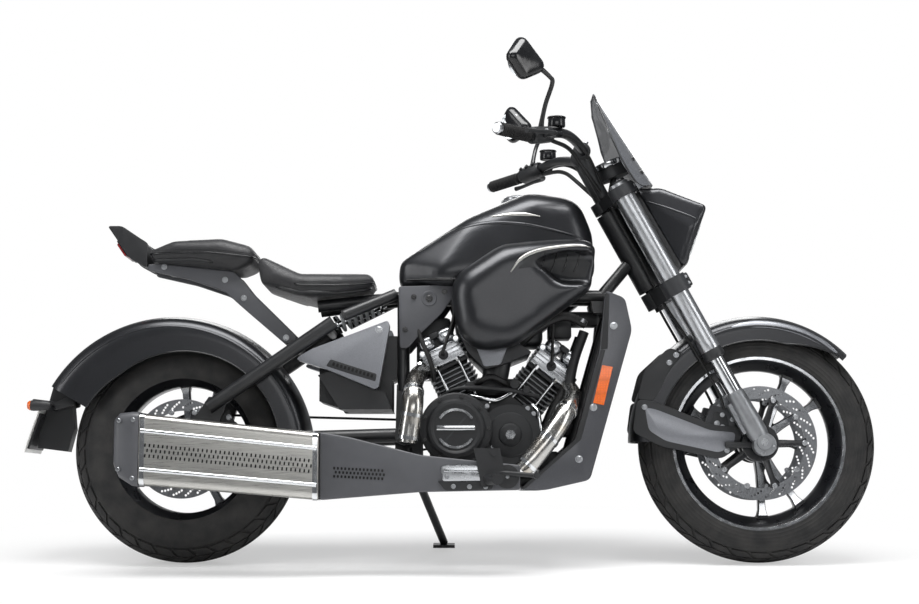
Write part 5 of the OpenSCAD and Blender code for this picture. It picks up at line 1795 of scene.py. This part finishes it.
def cooling():
    """Radiator core and tanks, and the shrouds beside it with their black edges."""
    plates, edges, heads = [], [], []
    for way in (-1, 1):
        y0, y1 = sorted((way * 125, way * 149.6))
        plates.append(plate("shroud", rounded(SHROUD, 14), y0, y1, round_by=5, segments=3))
        for line, corner in ((SHROUD_INNER_EDGE, 4), (SHROUD_UPPER_EDGE, 3)):
            edges.append(slab("edge", rounded(line, corner), way * 149, 1.6, round_by=0.8))
        heads.append(bolts("bolt", [(1112, 610), (1058, 400), (1020, 268)], way * 150, 8, 4, way=way))
    plates.append(plate("chin", [(872, 190), (933, 190), (1046, 216), (1048, 223), (933, 197),
        (872, 197)], -125, 125, round_by=1.5))
    finish(join("shroud_plates", plates), "chassis", "grey paint dark",
        ["radiator_shrouds"])
    finish(join("shroud_black_edges", edges), "chassis", "black moulding")
    finish(join("shroud_bolts", heads), "chassis", "bolt steel")
    # Core: fins between flat tubes, and a tank on each end
    core = []
    for k in range(15):
        z = 256 + 23 * k
        x = face_x(z) - 17
        core.append(box("tube", (x, 0, z), (26, 206, 3.2), round_by=0.8, segments=1))
    finish(join("radiator_tubes", core), "chassis", "radiator fins", ["radiator"])
    slope = math.atan(0.289)
    unit = box("fin", (0, 0, 0), (18, 0.9, 352), LOCAL, 0)
    at = BIKE @ Matrix.Translation((face_x(420) - 17, -98, 420)) @ Matrix.Rotation(slope, 4, "Y")
    finish(repeat(unit, 57, (0, 3.5, 0), place=at, material="radiator fins"), "chassis", "radiator fins")
    frame_bars = []
    for way in (-1, 1):
        side = [(face_x(600), 600), (face_x(600) - 34, 600), (face_x(240) - 34, 240), (face_x(240), 240)]
        frame_bars.append(slab("tank", rounded(side, 5), way * 113, 11, round_by=3))
    for z in (244, 592):
        frame_bars.append(box("bar", (face_x(z) - 17, 0, z), (32, 206, 12), round_by=2))
    finish(join("radiator_tanks", frame_bars), "chassis", "black casting")


# ---------------------------------------------------------------- front end


def fork_point(x, y, s):
    a = math.radians(RAKE)
    return (WHEELBASE + x * math.cos(a) - s * math.sin(a), y,
        FRONT_AXLE_Z + x * math.sin(a) + s * math.cos(a))


def fork():
    """Fork legs: satin outer tubes, chromed stanchions, cast feet, clamps and screws."""
    outer, lower, feet, rings, heads, yokes = [], [], [], [], [], []
    for way in (-1, 1):
        at = FORK @ Matrix.Translation((0, way * 108, 0)) @ Matrix.Rotation(math.radians(90), 4, "X")
        # Profiles are (radius, -s): the turned frame has its y down the leg.
        up = [
            (20, -262), (25.5, -256), (26.9, -262), (26.9, -300), (26.2, -304), (26.2, -436), (26.9, -440),
            (26.9, -768), (24, -770), (0.1, -770),
        ]
        outer.append(spin("outer", [(r, -y) for r, y in up], at, 64))
        lower.append(spin("stanchion", [(20.6, 30), (20.6, 262)], at, 48))
        seal = [(21, 246), (27.5, 248), (29, 252), (29, 262), (27.6, 266), (27.6, 272), (26.5, 274)]
        rings.append(spin("seal", seal, at, 64))
        cap = [(0.1, 776), (10, 776), (12, 774), (12, 771), (22, 771), (24, 769), (24, 766)]
        rings.append(spin("cap", cap, at, 48))
        foot = [(21, 150), (24, 140), (25.5, 90), (27, 60), (27, 30), (23, 8), (0.1, 4)]
        feet.append(spin("foot", foot, at, 48))
        feet.append(rod("clamp", (0, way * 108 - 18.8, -6), (0, way * 108 + 18.8, -6), 29.5, FORK, 48, 3))
        feet.append(box("lug", (-24, way * 104, 84), (22, 22, 88), FORK, 5))
        heads.append(bolts("pinch", [(-16, -24), (16, -24)], way * 127, 5, 3, FORK, way))
        for s, tall in ((440, 44), (730, 30)):
            band = [(27.2, s - 0.5), (34.5, s + 1), (35.8, s + 4), (35.8, s + tall - 4),
                (34.5, s + tall - 1), (27.2, s + tall + 0.5)]
            yokes.append(spin("clamp", band, at, 56))
            yokes.append(box("ear", (34, way * 108, s + tall / 2), (18, 20, tall - 6), FORK, 4))
            for dz in (-9, 9) if tall > 40 else (0,):
                heads.append(rod("screw", (34, way * 108 - 14, s + tall / 2 + dz),
                    (34, way * 108 + 14, s + tall / 2 + dz), 4.6, FORK, 6))
    finish(join("fork_outer_tubes", outer), "steering", "fork tube", ["fork_legs"], 40)
    finish(join("fork_stanchions", lower), "steering", "chrome", angle=60)
    finish(join("fork_seals", rings), "steering", "black moulding", angle=40)
    finish(join("fork_feet", feet), "steering", "grey casting", angle=40)
    finish(join("yoke_clamps", yokes), "steering", "black casting", angle=40)
    finish(join("fork_screws", heads), "steering", "bolt steel")
    ends = []
    for way in (-1, 1):
        at = FRONT @ Matrix.Diagonal((1, way, 1, 1))
        ends.append(spin("axle", [(0.1, 136.5), (9, 136.5), (10, 135), (10, 130), (17, 130), (19, 128),
            (19, 120)], at, 48))
    finish(join("front_axle_caps", ends), "steering", "machined", angle=30)


def front_calipers():
    """Four-piston calipers bolted to the fork feet: two halves, bolts, pistons and a pipe."""
    bodies, heads = [], []
    side = [(1350, 352), (1386, 296), (1420, 318), (1432, 362), (1420, 400), (1370, 410)]
    inner = [(1366, 354), (1388, 318), (1408, 330), (1416, 360), (1408, 386), (1376, 394)]
    for way in (-1, 1):
        for y in (76.6, 59.6):
            a, b = sorted((way * (y - 2.4), way * (y + 2.4) if y < 70 else way * 77.8))
            bodies.append(plate("half", rounded(side, 12), a, b, round_by=1.6, segments=2))
        bodies.append(plate("rim", rounded(inner, 8), *sorted((way * 77, way * 79.6)), round_by=1))
        heads.append(bolts("bolt", [(1378, 346), (1398, 384), (1404, 336), (1424, 372)], way * 79.4, 5,
            3.4, way=way))
        for x, z in ((1384, 362), (1398, 352)):
            heads.append(rod("piston", (x, way * 79, z), (x, way * 81, z), 7.5, sides=24, edge=0.5))
    finish(join("front_caliper_halves", bodies), "steering", "black casting")
    finish(join("front_caliper_bolts", heads), "steering", "bolt steel")
    hoses = []
    for way in (-1, 1):
        hoses.append(
            tube(
                "hose",
                [(1404, way * 82, 398), fork_point(-34, way * 92, 180), fork_point(-36, way * 84, 330),
                 fork_point(-40, way * 60, 430), fork_point(-38, way * 40, 500)],
                3.6, sides=12,
            )
        )
    finish(join("front_brake_hoses", hoses), "steering", "hose rubber", angle=80)


def lamp_and_screen():
    """The lamp's reflector and lenses, the screen's dark edge bead and stays, and the round instrument."""
    low, high = (1309, 806), (1336, 886)
    bowl = plate("lamp_bowl", [(low[0] - 6, low[1]), (high[0] - 6, high[1]), (high[0] - 2, high[1]),
        (low[0] - 2, low[1])], -86, 86, round_by=1)
    finish(bowl, "steering", "chrome")
    rows = []
    unit = rod("lens", (0, 0, 0), (4, 0, 0), 15, LOCAL, 32, 1.2)
    at = BIKE @ Matrix.Translation((1325, -54, 850))
    rows.append(repeat(unit, 4, (0, 36, 0), place=at, material="lamp glass"))
    finish(join("lamp_projectors", rows), "steering", "mirror glass")
    # Screen: the curved sheet's edge is followed by a dark rubber bead.
    foot, r, tilt = Vector((1196, 0, 1000)), 230, math.radians(-32)
    turn = Matrix.Translation(foot) @ Matrix.Rotation(tilt, 4, "Y")
    outline = [(-150, -20), (-150, 60), (-128, 150), (-84, 240), (-40, 272), (40, 272), (84, 240),
        (128, 150), (150, 60), (150, -20)]
    edge = []
    for y, z in rounded(outline, 30, 6):
        x = -r + 30 + math.sqrt(max(r * r - y * y, 0)) - 2
        edge.append(turn @ Vector((x, y, z)))
    edge = [p for p in edge if p.z > 960]
    bead = tube("screen_edge_bead", [*edge], 2.6, sides=8, smooth=False)
    finish(bead, "steering", "black moulding", angle=80)
    stays = []
    for way in (-1, 1):
        for s in (20, 62):
            y = way * 96
            x = -r + 30 + math.sqrt(r * r - y * y) + 1
            a = turn @ Vector((x - 6, y, s))
            b = turn @ Vector((x + 3, y, s))
            stays.append(rod("screw", a, b, 7, sides=20, edge=1))
        stays.append(tube("stay", [turn @ Vector((-r + 22 + 206, way * 96, 14)),
            turn @ Vector((-r + 18 + 204, way * 96, 44)), turn @ Vector((-r + 18 + 204, way * 96, 70))],
            5, sides=12))
    finish(join("screen_stays", stays), "steering", "black steel", angle=40)
    at = BIKE @ Matrix.Translation((1132, 0, 1022)) @ Matrix.Rotation(math.radians(-22), 4,
        "Y") @ Matrix.Rotation(math.radians(90), 4, "X")
    dial = [(47, 30), (49, 33), (49, 42), (46, 45.5), (42.5, 45.5), (41.8, 41)]
    finish(spin("dial_bezel", dial, at, 72), "steering", "chrome", angle=35)
    finish(spin("dial_face", [(0.1, 40.4), (42, 40.4)], at, 72), "steering", "gloss moulding")
    ticks = box("tick", (35, 0, 0), (6, 1.2, 1.2), LOCAL, 0)
    ticks.data.transform(Matrix.Translation((0, 0.0408, 0)))
    finish(repeat(ticks, 25, turn=(0, 10.8, 0), place=at, material="plate white"), "steering",
        "plate white")
    needle = loft("needle", [[(-6, 41.4, -1.4), (-6, 41.4, 1.4), (-6, 42.2, 1.4), (-6, 42.2, -1.4)],
        [(33, 41.4, -0.4), (33, 41.4, 0.4), (33, 42.2, 0.4), (33, 42.2, -0.4)]], at)
    finish(needle, "steering", "red lens")


def front_end():
    fork()
    front_calipers()
    lamp_and_screen()


# ---------------------------------------------------------------- controls

BAR = [(1040, 0, 1085), (1040, 80, 1085), (985, 190, 1104), (893, 285, 1079)]


def on_bar(t):
    return Vector(BAR[2]) + (Vector(BAR[3]) - Vector(BAR[2])) * t


def mirrored(p):
    return Vector((p[0], -p[1], p[2]))


def controls():
    """Handlebar, ribbed grips with bright ends, switches, reservoirs, levers, hoses and mirrors."""
    half = [*BAR[1:], (815, 396, 1072.7)]
    path = [mirrored(p) for p in reversed(half)] + [Vector(BAR[0])] + [Vector(p) for p in half]
    finish(tube("handlebar_tube", path, 12.6, sides=28, steps=10), "steering", "frame black",
        ["handlebar"], 60)
    clamps, heads = [], []
    for y in (-48, 48):
        clamps.append(rod("riser", fork_point(-39, y, 761), (1036, y, 1080), 15, sides=32, edge=2))
        clamps.append(rod("clamp", (1040, y - 16, 1085), (1040, y + 16, 1085), 23.5, sides=40, edge=3))
        for dy in (-9, 9):
            heads.append(rod("screw", (1052, y + dy, 1106), (1055, y + dy, 1111), 4.5, sides=6))
            heads.append(rod("screw", (1028, y + dy, 1108), (1026, y + dy, 1112), 4.5, sides=6))
    finish(join("handlebar_clamps", clamps), "steering", "black casting", angle=35)
    rubber_parts, ends, boxes, levers, cups, hoses = [], [], [], [], [], []
    start, end = Vector((889, 289, 1078)), Vector((805, 410, 1072))
    ahead = (end - start).normalized()
    for way in (-1, 1):
        flip = (lambda p: Vector(p)) if way > 0 else mirrored
        rubber_parts.append(tube("grip", [flip(start + ahead * t) for t in (0, 4, 8, 60, 120, 134)],
            [15.5, 16.8, 15.4, 14.8, 15.4, 16.6], sides=32))
        for k in range(14):
            a = start + ahead * (16 + 8 * k)
            rubber_parts.append(tube("rib", [flip(a), flip(a + ahead * 1.5), flip(a + ahead * 3.5),
                flip(a + ahead * 5)], [14.8, 16.7, 16.7, 14.8], sides=32, smooth=False))
        ends.append(tube("end", [flip(start + ahead * t) for t in (134, 136, 143, 147)],
            [11, 15, 14.6, 11], sides=32, smooth=False))
        a, b = on_bar(0.42), on_bar(0.98)
        boxes.append(tube("switch", [flip(a + (b - a) * t) for t in (0, 0.06, 0.5, 0.94, 1)],
            [18, 21, 22.5, 22, 18], sides=24, smooth=False))
        for t, size in ((0.5, 5), (0.68, 6.5), (0.84, 5)):
            p = on_bar(t)
            boxes.append(rod("button", flip(p + Vector((-14, -6, 12))), flip(p + Vector((-21, -9, 17))),
                size, sides=16, edge=1))
        cup = on_bar(0.42) + Vector((18, -14, 22))
        cups.append(rod("cup", flip(cup), flip(cup + Vector((0, 0, 22))), 22.5, sides=40, edge=2))
        cups.append(rod("lid", flip(cup + Vector((0, 0, 22))), flip(cup + Vector((0, 0, 26.5))), 24,
            sides=40, edge=1.5))
        cups.append(rod("master", flip(on_bar(0.36) + Vector((20, 6, 0))),
            flip(on_bar(0.84) + Vector((22, 14, 2))), 10, sides=24, edge=2))
        pivot = on_bar(0.8) + Vector((24, 12, 2))
        blade = [pivot, Vector((955, 308, 1080)), Vector((928, 346, 1076)), Vector((900, 384, 1070)),
            Vector((880, 406, 1067))]
        levers.append(tube("lever", [flip(p) for p in blade], [8, 7, 5.6, 5.2, 6.6], sides=20))
        levers.append(rod("pivot", flip(pivot + Vector((0, 0, -9))), flip(pivot + Vector((0, 0, 9))), 8,
            sides=24, edge=1))
        heads.append(rod("pin", flip(pivot + Vector((0, 0, 9))), flip(pivot + Vector((0, 0, 11.5))), 5,
            sides=6))
        for k, (dx, dy) in enumerate(((9, 9), (-9, -9))):
            p = cup + Vector((dx, dy, 26.5))
            heads.append(rod("lid_screw", flip(p), flip(p + Vector((0, 0, 1.6))), 3, sides=12))
        hoses.append(tube("hose", [flip(on_bar(0.36) + Vector((20, 2, 0))), flip((1012, 176, 1092)),
            flip((1052, 120, 1060)), flip(fork_point(-30, 60, 800)), flip(fork_point(-36, 44, 700)),
            flip(fork_point(-34, 40, 560)), flip(fork_point(-38, 40, 500))], 4.2, sides=12))
        hoses.append(tube("cable", [flip(on_bar(0.5) + Vector((12, -6, -14))), flip((1000, 160, 1070)),
            flip((1040, 104, 1030)), flip(fork_point(-34, 30, 720)), flip(fork_point(-40, 26, 640))], 5.5,
            sides=12))
    finish(join("grip_rubbers", rubber_parts), "steering", "grip rubber", ["grips"], 50)
    finish(join("bar_end_weights", ends), "steering", "machined", angle=35)
    finish(join("switch_boxes", boxes), "steering", "black moulding", ["hand_controls"],
        40)
    finish(join("brake_and_clutch_levers", levers), "steering", "black casting", angle=50)
    finish(join("fluid_reservoirs", cups), "steering", "gloss moulding", angle=35)
    finish(join("bar_hoses_and_cables", hoses), "steering", "hose rubber", angle=80)
    finish(join("control_screws", heads), "steering", "bolt steel")
    mirrors()


def mirrors():
    """Teardrop mirrors: gloss shells on bent stalks, with silvered glass towards the rider."""
    facing = Vector((-0.54, -0.84, -0.065)).normalized()
    tall_way = Vector((0.05, -0.11, 0.99))
    tall_way = (tall_way - facing * tall_way.dot(facing)).normalized()
    wide_way = tall_way.cross(facing)
    shells, stalks, panes = [], [], []
    for way, flip in ((1, Vector), (-1, mirrored)):
        lumps = ((905, 362, 1240, 22), (872, 385, 1216, 18), (868, 382, 1288, 20), (846, 412, 1250, 18))
        shells.append(blob("head", [(x, way * y, z, r) for x, y, z, r in lumps], 3, 30))
        base = on_bar(0.68) + Vector((0, 0, 20))
        bend = [base, (926, 266, 1130), (934, 284, 1164), (948, 330, 1204), (940, 340, 1218),
            (912, 360, 1238)]
        stalks.append(tube("stalk", [flip(p) for p in bend], [7.5, 6, 5.8, 5.8, 5.6, 7], sides=20))
        rings = []
        for out, grow in ((12, 0.92), (17.4, 1.0), (18.6, 0.97)):
            ring = []
            for k in range(40):
                a = math.tau * k / 40
                across = tall_way * (40 * grow * math.sin(a)) + wide_way * (34 * grow * math.cos(a))
                ring.append(flip(Vector((872, 385, 1249)) + across + facing * out))
            rings.append(ring)
        panes.append(loft("pane", rings))
    finish(join("mirror_shells", shells), "steering", "gloss moulding", ["mirrors"], 80)
    finish(join("mirror_stalks", stalks), "steering", "black steel", angle=60)
    finish(join("mirror_panes", panes), "steering", "mirror glass", angle=40)


# ---------------------------------------------------------------- stage


def stage():
    """A pale floor that keeps the bike's shadow, a white surround, soft lamps and the camera."""
    scene = bpy.context.scene
    scene.view_settings.view_transform = "Standard"
    world = bpy.data.worlds.new("Studio")
    scene.world = world
    world.use_nodes = True
    tree = world.node_tree
    tree.nodes.clear()
    path = add(tree, "ShaderNodeLightPath")
    ambient = add(tree, "ShaderNodeBackground", {"Color": (0.95, 0.97, 1.0, 1), "Strength": 0.17})
    white = add(tree, "ShaderNodeBackground", {"Color": (1, 1, 1, 1), "Strength": 1.0})
    seen = add(
        tree,
        "ShaderNodeMixShader",
        links={0: path.outputs["Is Camera Ray"], 1: ambient.outputs[0], 2: white.outputs[0]},
    )
    add(tree, "ShaderNodeOutputWorld", links={0: seen.outputs[0]})

    size = 14
    floor = mesh_object(
        "floor", [(-size, -size, 0), (size, -size, 0), (size, size, 0), (-size, size, 0)], [(0, 1, 2, 3)],
        Matrix()
    )
    for face in floor.data.polygons:
        if face.normal.z < 0:
            face.flip()
    mat, tree, shader, place = blank("pale floor")
    shader.inputs["Base Color"].default_value = (0.86, 0.86, 0.86, 1)
    shader.inputs["Roughness"].default_value = 0.9
    path = add(tree, "ShaderNodeLightPath")
    glow = add(tree, "ShaderNodeEmission", {"Color": (1, 1, 1, 1), "Strength": 1.0})
    # The glow is full away from the bike and weaker under it, where the shadow shows.
    squeezed = add(tree, "ShaderNodeMapping", {"Scale": (0.72, 1.0, 1.0)}, {"Vector": place})
    far = add(tree, "ShaderNodeVectorMath", links={0: squeezed.outputs[0]}, operation="LENGTH")
    amount = between(tree, far.outputs["Value"], 0.42, 1.0, 0.55, 1.1)
    for kind in ("Is Camera Ray",):
        amount = add(
            tree, "ShaderNodeMath", links={0: amount, 1: path.outputs[kind]}, operation="MULTIPLY"
        ).outputs[0]
    mix = add(tree, "ShaderNodeMixShader", links={0: amount, 1: shader.outputs[0], 2: glow.outputs[0]})
    output = next(n for n in tree.nodes if n.type == "OUTPUT_MATERIAL")
    tree.links.new(mix.outputs[0], output.inputs["Surface"])
    floor.data.materials.append(mat)

    # Name, place in metres, aim, width and height, power in watts.
    lamps = (
        ("overhead", (0.1, -0.7, 3.1), (0.0, 0.1, 0.6), 3.2, 1.1, 140),
        ("front_fill", (0.4, -4.6, 1.9), (0, 0, 0.5), 3.0, 1.2, 30),
        ("nose_strip", (3.0, -1.6, 1.4), (0.2, 0, 0.6), 0.8, 2.4, 26),
        ("tail_strip", (-3.0, -1.6, 1.4), (-0.2, 0, 0.6), 0.8, 2.4, 26),
        ("rear_wash", (0, 3.4, 2.2), (0, 0, 0.7), 3.0, 1.4, 45),
    )
    for name, at, aim, wide, tall, watts in lamps:
        data = bpy.data.lights.new(name, "AREA")
        data.shape, data.size, data.size_y, data.energy = "RECTANGLE", wide, tall, watts
        lamp = bpy.data.objects.new(name, data)
        lamp.location = at
        lamp.rotation_euler = (Vector(aim) - Vector(at)).to_track_quat("-Z", "Y").to_euler()
        scene.collection.objects.link(lamp)

    data = bpy.data.cameras.new("Side view")
    data.lens, data.sensor_width = 67.3, 36
    camera = bpy.data.objects.new("Side view", data)
    camera.location = (0.0172, -4.624, 0.6838)
    camera.rotation_euler = (math.radians(90), 0, 0)
    scene.collection.objects.link(camera)
    scene.camera = camera


# ---------------------------------------------------------------- add-on


def tint(name, description, default):
    """A colour that a user may change."""
    return bpy.props.FloatVectorProperty(
        name=name, description=description, subtype="COLOR", size=4, min=0, max=1, default=linear(default)
    )


class CRUISER_PG_look(bpy.types.PropertyGroup):
    """Colours of the finishes that an owner would choose."""

    paint: tint("Paint", "Metallic paint of the tank, cowls and fenders", "#242528")
    side_paint: tint("Side paint", "Lighter metallic paint of the side covers", "#7c7e83")
    seat: tint("Seat", "Vinyl of both seats", "#1b1b1e")
    reflector: tint("Reflector", "Acrylic of the side reflectors", "#d8600a")
    screen: tint("Screen", "Tint of the windscreen", "#5f6165")


class CRUISER_PG_sizes(bpy.types.PropertyGroup):
    """Sizes and counts of the small details."""

    tread_blocks: bpy.props.IntProperty(
        name="Tread blocks", description="Blocks in each row of tread round a tyre", default=34, min=20,
        max=60
    )
    disc_holes: bpy.props.IntProperty(
        name="Disc holes", description="Holes in each ring of holes in a brake disc", default=24, min=12,
        max=36
    )
    disc_hole: bpy.props.FloatProperty(
        name="Disc hole", description="Width of a hole in a brake disc",
        default=0.0066, min=0.003, max=0.009, unit="LENGTH",
    )
    stitch: bpy.props.FloatProperty(
        name="Stitch", description="Distance from one seat stitch to the next",
        default=0.006, min=0.003, max=0.012, unit="LENGTH",
    )


class CRUISER_OT_stage(bpy.types.Operator):
    """Floor, lamps and camera."""

    bl_idname = "cruiser.stage"
    bl_label = "Studio"

    def execute(self, context):
        stage()
        return {"FINISHED"}


class CRUISER_OT_finishes(bpy.types.Operator):
    """Make the finishes and give them to the CAD parts that stay in view."""

    bl_idname = "cruiser.finishes"
    bl_label = "Finishes"

    def execute(self, context):
        make_materials(context.scene.cruiser_look)
        node_finishes()
        return {"FINISHED"}


class CRUISER_OT_wheels(bpy.types.Operator):
    """Tyres, cast rims and brake discs."""

    bl_idname = "cruiser.wheels"
    bl_label = "Wheels"

    def execute(self, context):
        wheels(context.scene.cruiser_sizes)
        return {"FINISHED"}


class CRUISER_OT_bodywork(bpy.types.Operator):
    """Tank, side cowls, fenders and covers."""

    bl_idname = "cruiser.bodywork"
    bl_label = "Bodywork"

    def execute(self, context):
        bodywork()
        return {"FINISHED"}


class CRUISER_OT_seats(bpy.types.Operator):
    """Both seats with their covers, piping and stitches."""

    bl_idname = "cruiser.seats"
    bl_label = "Seats"

    def execute(self, context):
        seats(context.scene.cruiser_sizes)
        return {"FINISHED"}


class CRUISER_OT_engine(bpy.types.Operator):
    """Cylinders, covers and pipework of the V-twin."""

    bl_idname = "cruiser.engine"
    bl_label = "Engine"

    def execute(self, context):
        engine()
        return {"FINISHED"}


class CRUISER_OT_exhaust(bpy.types.Operator):
    """Header shields, collector and muffler."""

    bl_idname = "cruiser.exhaust"
    bl_label = "Exhaust"

    def execute(self, context):
        exhaust()
        return {"FINISHED"}


class CRUISER_OT_front_end(bpy.types.Operator):
    """Fork, calipers, lamp, screen and instruments."""

    bl_idname = "cruiser.front_end"
    bl_label = "Front end"

    def execute(self, context):
        front_end()
        return {"FINISHED"}


class CRUISER_OT_controls(bpy.types.Operator):
    """Bars, levers, switches, mirrors and hoses."""

    bl_idname = "cruiser.controls"
    bl_label = "Controls"

    def execute(self, context):
        controls()
        return {"FINISHED"}


class CRUISER_OT_rear_end(bpy.types.Operator):
    """Shock, seat arms, tail hoop, plate stays, lamps and caliper."""

    bl_idname = "cruiser.rear_end"
    bl_label = "Rear end"

    def execute(self, context):
        rear_end()
        return {"FINISHED"}


class CRUISER_OT_cooling(bpy.types.Operator):
    """Radiator and shrouds."""

    bl_idname = "cruiser.cooling"
    bl_label = "Cooling"

    def execute(self, context):
        cooling()
        return {"FINISHED"}


OPERATORS = (
    CRUISER_OT_stage,
    CRUISER_OT_finishes,
    CRUISER_OT_wheels,
    CRUISER_OT_bodywork,
    CRUISER_OT_seats,
    CRUISER_OT_engine,
    CRUISER_OT_exhaust,
    CRUISER_OT_front_end,
    CRUISER_OT_controls,
    CRUISER_OT_rear_end,
    CRUISER_OT_cooling,
)


class CRUISER_PT_panel(bpy.types.Panel):
    """The build steps and the values that they use."""

    bl_label = "Cruiser Motorcycle"
    bl_idname = "CRUISER_PT_panel"
    bl_space_type = "VIEW_3D"
    bl_region_type = "UI"
    bl_category = "Motorcycle"

    def draw(self, context):
        column = self.layout.column()
        for group in (context.scene.cruiser_look, context.scene.cruiser_sizes):
            for key in group.__annotations__:
                column.prop(group, key)
        for cls in OPERATORS:
            column.operator(cls.bl_idname)


CLASSES = (CRUISER_PG_look, CRUISER_PG_sizes, *OPERATORS, CRUISER_PT_panel)


def register():
    for cls in CLASSES:
        bpy.utils.register_class(cls)
    bpy.types.Scene.cruiser_look = bpy.props.PointerProperty(type=CRUISER_PG_look)
    bpy.types.Scene.cruiser_sizes = bpy.props.PointerProperty(type=CRUISER_PG_sizes)


def unregister():
    del bpy.types.Scene.cruiser_sizes, bpy.types.Scene.cruiser_look
    for cls in reversed(CLASSES):
        bpy.utils.unregister_class(cls)


def main():
    """Build the whole bike in order."""
    register()
    for cls in OPERATORS:
        group, _, call = cls.bl_idname.partition(".")
        getattr(getattr(bpy.ops, group), call)()


if __name__ == "__main__":
    main()
